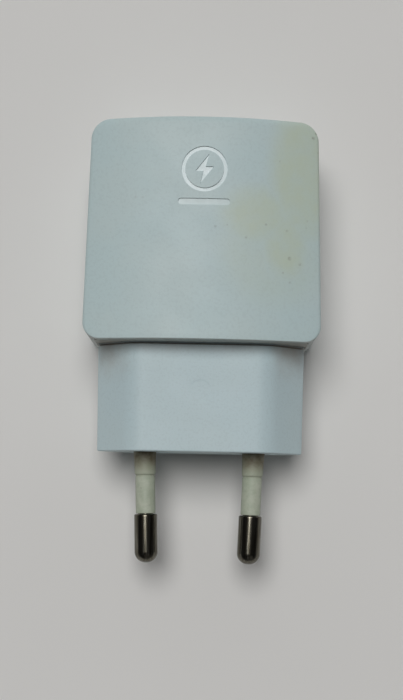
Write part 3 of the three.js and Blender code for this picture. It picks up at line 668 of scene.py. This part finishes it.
METALS = {
    "receptacle_steel": ((200, 201, 203), (168, 170, 174), 0.3),
    "contact_metal": ((226, 190, 112), (196, 154, 82), 0.26),
    "capacitor_can": ((206, 208, 212), (180, 182, 186), 0.34, (1, 1, 0.08)),
}
MOULDED = {
    "receptacle_plastic": ((44, 45, 48), (30, 31, 34), 0.45),
    "black_plastic": ((46, 46, 49), (30, 30, 33), 0.5),
    "green_lacquer": ((98, 138, 102), (74, 112, 82), 0.32, 0.5, 0.02),
    "chip_ceramic": ((196, 174, 138), (170, 146, 110), 0.55),
    "ferrite": ((62, 61, 64), (42, 41, 44), 0.6, 0.16, 0.02),
    "yellow_tape": ((226, 190, 66), (206, 166, 46), 0.3, 0.9, 0.02),
    "blue_ceramic": ((66, 112, 190), (44, 84, 160), 0.42, 0.4, 0.02),
    "capacitor_sleeve": ((40, 50, 66), (28, 36, 50), 0.3, 0.8, 0.015),
    "insulating_film": ((176, 112, 40), (150, 90, 28), 0.22, 1.2, 0.02),
}
FINISHES = {
    "housing": case_finish(), "sleeve_plastic": sleeve_finish(), "pin_metal": pin_finish(),
    "board_laminate": board_finish(), "copper_wire": winding_finish(),
}
for slot, (light, dark, *rest) in METALS.items():
    FINISHES[slot] = metal_finish(slot, srgb(*light), srgb(*dark), *rest)
for slot, (light, dark, *rest) in MOULDED.items():
    FINISHES[slot] = moulded_finish(slot, srgb(*light), srgb(*dark), *rest)
mark_plastic = mark_finish()
base_plastic = base_finish()
plate_plastic = plate_finish()

# ---- case ------------------------------------------------------------


def depth_share(y):
    return 1 - y / CASE_LENGTH * FRONT_DRAFT / CASE_DEPTH


def width_share(y):
    return 1 - y / CASE_LENGTH * (1 - PORT_HALF_WIDTH / MOUTH_HALF_WIDTH)


def crown(x, y, inset=0.0):
    """Height of the front face, or of a surface inset from it."""
    across = x / width_share(y)
    return depth_share(y) * (CASE_DEPTH - inset - CROWN_RADIUS + sqrt(CROWN_RADIUS**2 - across**2))


def case_outline(inset, start):
    slope = (MOUTH_HALF_WIDTH - PORT_HALF_WIDTH) / CASE_LENGTH
    wide = MOUTH_HALF_WIDTH - inset - slope * start
    narrow = PORT_HALF_WIDTH - inset
    end = CASE_LENGTH - inset
    mouth = CAVITY_CORNER if start < 0 else max(MOUTH_CORNER - inset, CAVITY_CORNER)
    port = max(PORT_CORNER - inset, CAVITY_CORNER)
    return rounded_points([
        (-wide, start, mouth), (wide, start, mouth), (narrow, end - END_BOW, port),
        (END_FLAT, end, END_BOW_RADIUS), (-END_FLAT, end, END_BOW_RADIUS),
        (-narrow, end - END_BOW, port),
    ], steps=14, spacing=0.9)


def edge_sizes(direction, outer):
    """(inset, drop) of the front edge and of the back edge where the outline faces that way."""
    if not outer:
        return (CAVITY_EDGE, CAVITY_EDGE), (CAVITY_EDGE, CAVITY_EDGE)
    sides = direction.x**2
    end = direction.y**2 if direction.y > 0 else 0.0
    mouth = 1 - sides - end
    front = LONG_EDGE * sides + MOUTH_EDGE * mouth
    back = BACK_EDGE * sides + MOUTH_EDGE * mouth
    inset, drop = END_EDGE * end, END_DROP * end
    return (front + inset, front + drop), (back + inset, back + drop)


EDGE_STEPS = 8
CONIC = sqrt(0.5)


def conic(a, b, c, t):
    """Point on a circle-like arc from a to c that leaves and arrives towards b."""
    u, v, w = (1 - t) ** 2, 2 * CONIC * t * (1 - t), t**2
    return tuple((u * p + v * q + w * r) / (u + v + w) for p, q, r in zip(a, b, c))


def case_form(name, inset, start, outer=False, face_rings=26):
    """The case's form, or its cavity: a flat back, tapered walls and a crowned front."""
    points = case_outline(inset, start)
    centre = Vector((0, (start + CASE_LENGTH - inset) / 2))
    rings = [[] for _ in range(2 * (EDGE_STEPS + 1))]
    inner_front = []
    inner_back = []
    for point, direction in points:
        (front_in, front_drop), (back_in, back_drop) = edge_sizes(direction, outer)
        back_from = point - direction * back_in
        front_from = point - direction * front_in
        top = crown(point.x, point.y, inset)
        for s in range(EDGE_STEPS + 1):
            t = s / EDGE_STEPS
            low = conic((*back_from, inset), (*point, inset), (*point, inset + back_drop), t)
            high = conic((*point, top - front_drop), (*point, top),
                         (*front_from, crown(front_from.x, front_from.y, inset)), t)
            rings[s].append(low)
            rings[EDGE_STEPS + 1 + s].append(high)
        inner_front.append(front_from)
        inner_back.append(back_from)
    for k in range(1, face_rings + 1):
        share = 1 - (k / face_rings) ** 0.9
        if k == face_rings:
            rings.append([(*centre, crown(*centre, inset))])
        else:
            spots = [centre + (p - centre) * share for p in inner_front]
            rings.append([(*p, crown(*p, inset)) for p in spots])
    for share in (0.9, 0.6, 0.3):
        rings.insert(0, [(*(centre + (p - centre) * share), inset) for p in inner_back])
    rings.insert(0, [(*centre, inset)])
    return loft(name, rings)


def along_y(name, sections):
    """Joins (y, [(x, z), ...]) sections."""
    return loft(name, [[(x, y, z) for x, z in section] for y, section in sections])


def over_face(outline):
    """The lower and upper rims of a tool whose floor follows the front face under an outline."""
    low = [(x, y + MARK_Y, crown(x, y + MARK_Y) - MARK_DEPTH) for x, y in outline]
    return low, [(x, y, CASE_DEPTH + 1) for x, y, _ in low]


def ring_tool(name, outer, inner, steps=96):
    angles = [2 * pi * s / steps for s in range(steps)]
    low_out, high_out = over_face([(outer * cos(a), outer * sin(a)) for a in angles])
    low_in, high_in = over_face([(inner * cos(a), inner * sin(a)) for a in angles])
    return loft(name, [low_out, high_out, high_in, low_in], closed=True)


def bar_tool(name, half_length, half_width, y, steps=8, slices=20):
    """A slot with round ends across the face, built in slices from left to right."""
    straight = half_length - half_width
    ends = [half_width * cos(pi / 2 * s / steps) for s in range(steps)]
    stations = [-straight - e for e in ends]
    stations += [straight * (2 * s / slices - 1) for s in range(slices + 1)]
    stations += [straight + e for e in reversed(ends)]
    rings = []
    for x in stations:
        past = max(abs(x) - straight, 0)
        half = max(sqrt(max(half_width**2 - past**2, 0)), 0.03)
        low, high = over_face([(x, y - half), (x, y + half)])
        rings.append(low + high[::-1])
    return loft(name, rings)


def mark_tools():
    """Ring, lightning bolt and plain bar: a generic charging mark."""
    bolt = [(0.75, 2.6), (-1.55, -0.4), (-0.2, -0.4), (-0.75, -2.6), (1.55, 0.4), (0.2, 0.4)]
    upper = loft("mark_bolt", over_face([bolt[0], bolt[1], bolt[2], bolt[5]]))
    lower = loft("mark_bolt_low", over_face([bolt[5], bolt[2], bolt[3], bolt[4]]))
    return [
        ring_tool("mark_ring", 3.9, 3.25),
        carve(upper, lower, operation="UNION"),
        bar_tool("mark_bar", 4.4, 0.55, MARK_BAR_Y),
    ]


def outer_case():
    case = case_form("case_shell", 0, 0, outer=True)
    cavity = case_form("case_cavity", WALL, -2, face_rings=10)

    def port_section(grow):
        around = 2 * (PORT_MARGIN + grow)
        radius = PORT_OPENING_RADIUS + grow
        return rounded_ring(rounded_box_corners(
            SHELL_WIDTH + around, SHELL_HEIGHT + around, radius, 0, PORT_Z))

    sections = [(CASE_LENGTH - 5, port_section(0))]
    for a in quarter(6):
        sections.append((CASE_LENGTH - PORT_LIP * cos(a), port_section(PORT_LIP * (1 - cos(a)))))
    sections.append((CASE_LENGTH + 3, port_section(PORT_LIP)))
    carve(case, cavity, along_y("case_port", sections))
    rails = []
    under = BOARD_TOP - BOARD_THICKNESS - BOARD_FIT
    over = BOARD_TOP + BOARD_FIT
    for z in ((under - RAIL_HEIGHT, under), (over, over + RAIL_HEIGHT)):
        for side in (-1, 1):
            x = sorted((side * RAIL_INNER, side * RAIL_OUTER))
            rails.append(block("case_rail", x, RAIL_ENDS, z))
    carve(case, *rails, operation="UNION")
    return carve(case, *mark_tools())


# ---- plug base -------------------------------------------------------


def nose_section(inset, y, edge=NOSE_EDGE, steps=6):
    flat = NOSE_FLAT - inset * (sqrt(2) - 1)
    side = NOSE_SIDE + inset * (sqrt(2) - 1) * 0.5
    w, h = NOSE_HALF_WIDTH - inset, NOSE_HALF_DEPTH - inset
    soft = max(NOSE_CORNER - inset, 0.5)
    corners = [(-w, -side, edge), (-flat, -h, soft), (flat, -h, soft), (w, -side, edge),
               (w, side, edge), (flat, h, soft), (-flat, h, soft), (-w, side, edge)]
    growth = 1 + NOSE_TAPER * (1 + y / NOSE_LENGTH)
    return [(x * growth, z * growth + PIN_Z) for x, z in rounded_ring(corners, steps)]


def on_pin(obj, side):
    """Puts a piece made about the Y axis on a pin's own leaning axis."""
    turn = Matrix.Rotation(side * -PIN_LEAN, 4, "Z")
    move = Matrix.Translation((side * PIN_PITCH / 2, -NOSE_LENGTH, PIN_Z))
    obj.data.transform(move @ turn)
    return obj


PIN_SIDES = (("left", -1), ("right", 1))


def plug_base():
    sections = [(-NOSE_LENGTH, nose_section(1.2, -NOSE_LENGTH))]
    for a in reversed(quarter(6)):
        y = -NOSE_LENGTH + NOSE_LIP * (1 - sin(a))
        sections.append((y, nose_section(NOSE_LIP * (1 - cos(a)), y)))
    # A narrow relief runs round the base just outside the shoulder plate.
    for y, inset in ((-NOSE_LENGTH + NOSE_LIP + 0.05, 0), (-14, 0), (-9, 0), (-4.5, 0), (-1, 0),
                     (-RELIEF_END - 0.03, 0), (-RELIEF_END, RELIEF_DEPTH),
                     (-RELIEF_START, RELIEF_DEPTH), (-RELIEF_START + 0.03, 0),
                     (SHOULDER + FLANGE, 0)):
        sections.append((y, nose_section(inset, y)))
    base = along_y("plug_base_shell", sections)
    flange = block("plug_base_flange", (-17.6, 17.6), (SHOULDER, SHOULDER + FLANGE), (3.6, 19.2))
    carve(base, soften(flange, 0.2), operation="UNION")
    stations = (-NOSE_LENGTH + FACE_WALL, -10, -4, SHOULDER + 10)
    carve(base, along_y("plug_base_hollow", [(y, nose_section(NOSE_WALL, y)) for y in stations]))
    radius, end = BOSS_RADIUS, FACE_WALL + BOSS_LENGTH
    edge, hole = 0.2, BASE_HOLE_RADIUS
    for name, side in PIN_SIDES:
        profile = [(0, 0.6), (radius, 0.6), (radius, end - edge), (radius - edge, end), (0, end)]
        carve(base, on_pin(revolve("boss_" + name, profile, 48), side), operation="UNION")
        profile = [(0, -2), (hole + edge, -2), (hole + edge, 0)]
        profile += [(hole + edge * (1 - sin(a)), edge * (1 - cos(a))) for a in EDGE_TURN]
        profile += [(hole, end + 2), (0, end + 2)]
        carve(base, on_pin(revolve("hole_" + name, profile, 64), side))
    # Faint round gate mark in the middle of the front.
    top = PIN_Z + NOSE_HALF_DEPTH * (1 + NOSE_TAPER * 0.55)
    steps = 48
    turn = [2 * pi * s / steps for s in range(steps)]
    spots = [(GATE_RADIUS * cos(a), GATE_Y + GATE_RADIUS * sin(a)) for a in turn]
    rings = [[(x, y, z) for x, y in spots] for z in (top - GATE_DEPTH, top + 1)]
    return carve(base, loft("gate_mark", rings))


def shoulder_plate():
    plate = case_form("shoulder_plate_shell", WALL + 0.15, -2, face_rings=8)
    slab = block("shoulder_plate_slab", (-30, 30), (0, SHOULDER), (-1, 30))
    carve(plate, slab, operation="INTERSECT")
    sections = [(-3, nose_section(-PLATE_FIT - PLATE_LIP, 0))]
    for a in quarter(6):
        y = PLATE_LIP * (1 - cos(a))
        sections.append((y, nose_section(-PLATE_FIT - PLATE_LIP * (1 - sin(a)), y)))
    sections.append((SHOULDER + 2, nose_section(-PLATE_FIT, SHOULDER + 2)))
    return carve(plate, along_y("shoulder_plate_hole", sections))


# ---- pins ------------------------------------------------------------


def pin(name, side):
    nose, edge = PIN_TIP_RADIUS, PIN_EDGE
    profile = [(0, -PIN_LENGTH)]
    for a in quarter(16)[1:]:
        profile.append((PIN_RADIUS - nose + nose * sin(a), -PIN_LENGTH + nose * (1 - cos(a))))
    end = -SLEEVE_LENGTH - PIN_GAP
    profile += [(PIN_RADIUS, end - 4), (PIN_RADIUS, end - 0.4)]
    for a in (0.0, *EDGE_TURN):
        profile.append((PIN_RADIUS - edge * (1 - cos(a)), end - edge + edge * sin(a)))
    core, tail = PIN_CORE, PIN_TAIL
    profile += [(core, end), (core, tail - 0.2), (core - 0.2, tail), (0, tail)]
    return on_pin(revolve("pin_" + name + "_metal", profile), side)


def pin_sleeve(name, side):
    """A slim tube with a rounded end, a fine groove, and a collar that widens to the plug face."""
    end, slim, step = -SLEEVE_LENGTH, SLEEVE_RADIUS, -COLLAR_LENGTH
    profile = [
        (SLEEVE_BORE, end), (slim - 0.12, end), (slim - 0.03, end + 0.04), (slim, end + 0.14),
        (slim, end + 0.3), (slim, -6.5), (slim, step - 0.55), (slim, step - 0.4),
        (slim - 0.03, step - 0.3), (SLEEVE_GROOVE, step - 0.22), (SLEEVE_GROOVE, step - 0.07),
        (COLLAR_END_RADIUS - 0.06, step), (COLLAR_END_RADIUS, step + 0.12),
        (COLLAR_END_RADIUS + 0.005, step + 0.25),
    ]
    for t in (0.25, 0.5, 0.75, 1.0):
        growth = (COLLAR_RADIUS - COLLAR_END_RADIUS) * t
        profile.append((COLLAR_END_RADIUS + growth, (step + 0.12) * (1 - t)))
    inside = FACE_WALL + BOSS_LENGTH - 0.5
    profile += [(COLLAR_RADIUS, inside - 0.1), (COLLAR_RADIUS - 0.1, inside)]
    profile += [(SLEEVE_BORE, inside), (SLEEVE_BORE, 0)]
    return on_pin(revolve("sleeve_" + name, profile), side)


# ---- USB receptacle --------------------------------------------------

SPRING_X = (-3.1, 3.1)
SPRING_END = 34.6
SPRING_LENGTH = 5.6
SPRING_HALF_WINDOW = 1.4
SPRING_WIDTH = 2.0
SHELL_ROUNDING = 0.12  # at the mouth
TONGUE_WIDTH = 11.1
TONGUE_THICKNESS = 1.84
TONGUE_TOP = PORT_Z + SHELL_HEIGHT / 2 - SHELL_SHEET - 0.7
TONGUE_BOTTOM = TONGUE_TOP - TONGUE_THICKNESS
TONGUE_END = 36.6
TONGUE_ROUNDING = 0.6
BLOCK_HALF_WIDTH = 5.95
BLOCK_START = 22.8
BLOCK_FRONT = 26.4
ARM_Z = TONGUE_BOTTOM + 0.5
CONTACT_X = (-3.5, -1.0, 1.0, 3.5)
CONTACT_WIDTH = 1.0
CONTACT_SHEET = 0.25


def tube_section(inset):
    width, height = SHELL_WIDTH - 2 * inset, SHELL_HEIGHT - 2 * inset
    return rounded_ring(rounded_box_corners(width, height, max(SHELL_CORNER - inset, 0.4), 0, PORT_Z))


def bent_strip(name, path, width, sheet):
    """A strip of sheet metal along a (y, z) path, centred on x = 0."""
    rings = []
    for i, (y, z) in enumerate(path):
        y0, z0 = path[max(i - 1, 0)]
        y1, z1 = path[min(i + 1, len(path) - 1)]
        length = hypot(y1 - y0, z1 - z0)
        ny, nz = -(z1 - z0) / length * sheet / 2, (y1 - y0) / length * sheet / 2
        w = width / 2
        soft = sheet * 0.2
        corners = ((-w, -0.6), (-w + soft, -1), (w - soft, -1), (w, -0.6),
                   (w, 0.6), (w - soft, 1), (-w + soft, 1), (-w, 0.6))
        rings.append([(x, y + ny * n, z + nz * n) for x, n in corners])
    return loft(name, rings)


def smooth_path(points, steps=5):
    """Catmull-Rom curve through (y, z) points."""
    path = []
    for i in range(len(points) - 1):
        p0, p1 = Vector(points[max(i - 1, 0)]), Vector(points[i])
        p2, p3 = Vector(points[i + 1]), Vector(points[min(i + 2, len(points) - 1)])
        for s in range(steps):
            t = s / steps
            path.append(tuple(0.5 * (2 * p1 + (p2 - p0) * t + (2 * p0 - 5 * p1 + 4 * p2 - p3) * t**2
                                     + (3 * p1 - p0 - 3 * p2 + p3) * t**3)))
    path.append(tuple(points[-1]))
    return path


def usb_shell():
    sheet, radius = SHELL_SHEET, SHELL_ROUNDING
    rim = [(SHELL_MOUTH - radius * (1 - sin(a)), radius * (1 - cos(a))) for a in quarter(4)]
    stations = [(SHELL_START, 0.0), (SHELL_START + 6, 0.0), *rim]
    stations += [(y, sheet - inset) for y, inset in reversed(rim)]
    stations += [(SHELL_START + 6, sheet), (SHELL_START, sheet)]
    rings = [[(x, y, z) for x, z in tube_section(inset)] for y, inset in stations]
    shell = loft("usb_shell_tube", rings, closed=True)
    top, bottom = PORT_Z + SHELL_HEIGHT / 2, PORT_Z - SHELL_HEIGHT / 2
    start = SPRING_END - SPRING_LENGTH
    for x in SPRING_X:
        for face, inward in ((top, -1), (bottom, 1)):
            across = (x - SPRING_HALF_WINDOW, x + SPRING_HALF_WINDOW)
            carve(shell, block("window", across, (start, SPRING_END), (face - 0.5, face + 0.5)))
            middle = face + inward * sheet / 2
            path = smooth_path([
                (start - 0.4, middle), (start + 0.6, middle + inward * 0.02),
                (start + 3.0, middle + inward * 0.3), (start + 4.2, middle + inward * 0.42),
                (start + SPRING_LENGTH - 0.6, middle + inward * 0.2)])
            leaf = bent_strip("leaf", path, SPRING_WIDTH, sheet)
            leaf.data.transform(Matrix.Translation((x, 0, 0)))
            carve(shell, leaf, operation="UNION")
    for side in (-1, 1):
        middle = side * (SHELL_WIDTH - sheet) / 2
        across = (middle - sheet / 2, middle + sheet / 2)
        leg = block("leg", across, (29, 31), (BOARD_TOP - 2.0, PORT_Z))
        carve(shell, leg, operation="UNION")
    along = (SHELL_START - 1, SHELL_MOUTH + 1)
    return carve(shell, block("seam", (-0.05, 0.05), along, (bottom - 0.2, bottom + 0.16)))


def usb_insulator():
    floor = PORT_Z - SHELL_HEIGHT / 2 + SHELL_SHEET + 0.05
    across = (-BLOCK_HALF_WIDTH, BLOCK_HALF_WIDTH)
    body = block("insulator", across, (BLOCK_START, BLOCK_FRONT), (floor, TONGUE_TOP + 0.6))
    middle = (TONGUE_TOP + TONGUE_BOTTOM) / 2

    def tongue_section(inset):
        width, height = TONGUE_WIDTH - 2 * inset, TONGUE_THICKNESS - 2 * inset
        return rounded_ring(rounded_box_corners(width, height, 0.3, 0, middle), 6)

    full = TONGUE_END - TONGUE_ROUNDING
    sections = [(BLOCK_FRONT - 1, tongue_section(0)), (full, tongue_section(0))]
    for a in (0.3, 0.6, 0.9, 1.2, pi / 2):
        sections.append((full + TONGUE_ROUNDING * sin(a), tongue_section(0.5 * (1 - cos(a)))))
    carve(body, along_y("tongue", sections), operation="UNION")
    for x in CONTACT_X:
        carve(body, block("groove", (x - 0.75, x + 0.75), (BLOCK_FRONT, full),
                          (TONGUE_BOTTOM - 1, TONGUE_BOTTOM + 1.25)))
        carve(body, block("channel", (x - 0.65, x + 0.65), (BLOCK_START - 1, BLOCK_FRONT + 0.5),
                          (ARM_Z - 0.2, ARM_Z + CONTACT_SHEET + 0.2)))
    return soften(body, 0.06, 1, 50)


def contact_arm(number, x):
    reach = 8.4 if abs(x) > 2 else 7.4
    start = BLOCK_FRONT + 0.15
    bump = start + reach - 1.6
    low = TONGUE_BOTTOM - 0.35 + CONTACT_SHEET / 2
    middle = ARM_Z + CONTACT_SHEET / 2
    path = smooth_path([
        (start, middle), (start + 1.5, middle - 0.16), (bump - 1.3, low + 0.24),
        (bump - 0.4, low + 0.02), (bump + 0.3, low + 0.02), (bump + 1.0, low + 0.3),
        (start + reach - 0.08, low + 0.68)])
    arm = bent_strip("contact_arm_%d" % number, path, CONTACT_WIDTH, CONTACT_SHEET)
    arm.data.transform(Matrix.Translation((x, 0, 0)))
    return arm


def contact_tail(number, x):
    rear = BLOCK_START - 0.7
    half = CONTACT_SHEET / 2
    bend = 0.45
    path = [(BLOCK_FRONT, ARM_Z + half), (rear + half + bend + 0.6, ARM_Z + half)]
    for a in quarter(6):
        path.append((rear + half + bend - bend * sin(a), ARM_Z + half - bend * (1 - cos(a))))
    path += [(rear + half, BOARD_TOP + 1.2), (rear + half, BOARD_TOP)]
    tail = bent_strip("contact_tail_%d" % number, path, 0.8, CONTACT_SHEET)
    tail.data.transform(Matrix.Translation((x, 0, 0)))
    return tail


# ---- pieces that stand for CAD nodes ---------------------------------


def paint_mark(case):
    """Gives the floors of the sunk mark their own finish."""
    case.data.materials.append(mark_plastic)
    for face in case.data.polygons:
        x, y, z = face.center / MM
        sunk = crown(x, y) - z
        near = abs(x) < 5 and abs(y - MARK_Y + 1) < 6
        if near and MARK_DEPTH * 0.8 < sunk < MARK_DEPTH * 1.3 and face.normal.z > 0.8:
            face.material_index = 1


paint_mark(finish_piece(outer_case(), "housing", "charger", "outer_case"))
finish_piece(shoulder_plate(), "housing", "charger", "shoulder_plate", material=plate_plastic)
finish_piece(plug_base(), "housing", "charger", "plug_base", material=base_plastic)
for side_name, side_sign in PIN_SIDES:
    finish_piece(pin(side_name, side_sign), "pin_metal", "charger", "pin_" + side_name)
    sleeve = pin_sleeve(side_name, side_sign)
    finish_piece(sleeve, "sleeve_plastic", "charger", "pin_sleeve_" + side_name)
finish_piece(usb_shell(), "receptacle_steel", "charger", "usb_shell")
finish_piece(usb_insulator(), "receptacle_plastic", "charger", "usb_insulator")
for index, contact_x in enumerate(CONTACT_X, 1):
    arm, tail = contact_arm(index, contact_x), contact_tail(index, contact_x)
    finish_piece(arm, "contact_metal", "contact_%d" % index, "usb_contact_%d" % index, angle=40)
    finish_piece(tail, "contact_metal", "charger", "usb_contact_tail_%d" % index, angle=40)

# ---- CAD nodes that are shown as they are ----------------------------


DRESSED_EDGE = 0.06


def dress(node, material):
    """Rounds the edges of a CAD solid by modifiers and gives it its finish."""
    obj = frame["nodes"][node]
    for slot in obj.material_slots:
        slot.material = material
    weld = obj.modifiers.new("weld", "WELD")
    weld.merge_threshold = 0.01 * MM
    bevel = obj.modifiers.new("bevel", "BEVEL")
    bevel.width = DRESSED_EDGE * MM
    bevel.segments = 2
    bevel.limit_method = "ANGLE"
    bevel.angle_limit = radians(50)
    normals = obj.modifiers.new("normals", "WEIGHTED_NORMAL")
    normals.keep_sharp = True


replaced = {n for o in bpy.data.objects for n in o.get("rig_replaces", [])}
for subpart in frame["record"]["subparts"]:
    if subpart["node"] not in replaced:
        dress(subpart["node"], FINISHES[subpart["material_slot"]])

# ---- floor, lights and camera ----------------------------------------


def floor():
    finish = Finish("floor_paint", roughness=0.7)
    cloud = finish.noise(90, detail=3.0)
    patches = finish.vary(cloud)
    finish.colour(finish.mix(patches, srgb(230, 229, 227), srgb(227, 226, 224)))
    finish.bump(finish.noise(1.5, detail=3.0), 0.01, 0.3)
    reach, steps = 30.0, 24     # metres either way, and squares along each side
    spots = [(i / steps * 2 - 1) * reach for i in range(steps + 1)]
    vertices = [(x, y, 0) for y in spots for x in spots]
    row = steps + 1
    faces = [(j * row + i, j * row + i + 1, (j + 1) * row + i + 1, (j + 1) * row + i)
             for j in range(steps) for i in range(steps)]
    plane = mesh_object("floor", vertices, faces)
    if plane.data.polygons[0].normal.z < 0:
        plane.data.flip_normals()
    plane.data.materials.append(finish.material)


def soft_sun(name, direction, strength, spread, colour=(1, 1, 1)):
    """Light from far away in a direction, as soft as its spread in degrees."""
    data = bpy.data.lights.new(name, "SUN")
    data.energy = strength
    data.angle = radians(spread)
    data.color = colour
    light = bpy.data.objects.new(name, data)
    light.rotation_euler = Vector(direction).to_track_quat("Z", "Y").to_euler()
    bpy.context.scene.collection.objects.link(light)


def surroundings():
    """A dim room with a paler band near the horizon."""
    world = bpy.data.worlds.new("studio")
    world.use_nodes = True
    bpy.context.scene.world = world
    tree = world.node_tree
    background = tree.nodes["Background"]
    direction = tree.nodes.new("ShaderNodeTexCoord")
    split = tree.nodes.new("ShaderNodeSeparateXYZ")
    tree.links.new(direction.outputs["Generated"], split.inputs[0])
    ramp = tree.nodes.new("ShaderNodeValToRGB")
    ramp.color_ramp.interpolation = "EASE"
    stops = ((0.0, (0.42, 0.42, 0.415, 1)), (0.24, (0.032, 0.032, 0.033, 1)))
    for element, (position, colour) in zip(ramp.color_ramp.elements, stops):
        element.position = position
        element.color = colour
    tree.links.new(split.outputs["Z"], ramp.inputs["Fac"])
    tree.links.new(ramp.outputs["Color"], background.inputs["Color"])


floor()
surroundings()
soft_sun("key", (-0.10, 0.28, 1.0), 1.82, 32, (1.0, 0.995, 0.985))
soft_sun("fill", (0.3, -1.0, 0.8), 0.08, 60, (1.0, 0.99, 0.98))
soft_sun("end", (0.0, 1.0, 0.32), 0.24, 50)

# The camera looks almost straight down on the front, from slightly towards the pins.
LENS = 78.3
SENSOR_WIDTH = 36
DISTANCE = 265.6
TILT = radians(5.43)
ROLL = radians(1.10)
LOOK_AT = Vector((0.06, -0.68, 11.45))


def camera():
    right = Vector((1, 0, 0))
    up = Vector((0, cos(TILT), sin(TILT)))
    back = Vector((0, -sin(TILT), cos(TILT)))
    x = right * cos(ROLL) + up * sin(ROLL)
    y = up * cos(ROLL) - right * sin(ROLL)
    data = bpy.data.cameras.new("camera")
    data.lens = LENS
    data.sensor_width = SENSOR_WIDTH
    data.clip_start = 0.005
    obj = bpy.data.objects.new("camera", data)
    place = (LOOK_AT + back * DISTANCE) * MM
    rows = [(x[i], y[i], back[i], place[i]) for i in range(3)]
    obj.matrix_world = Matrix((*rows, (0, 0, 0, 1)))
    bpy.context.scene.collection.objects.link(obj)
    bpy.context.scene.camera = obj


camera()
bpy.context.scene.view_settings.view_transform = "Standard"
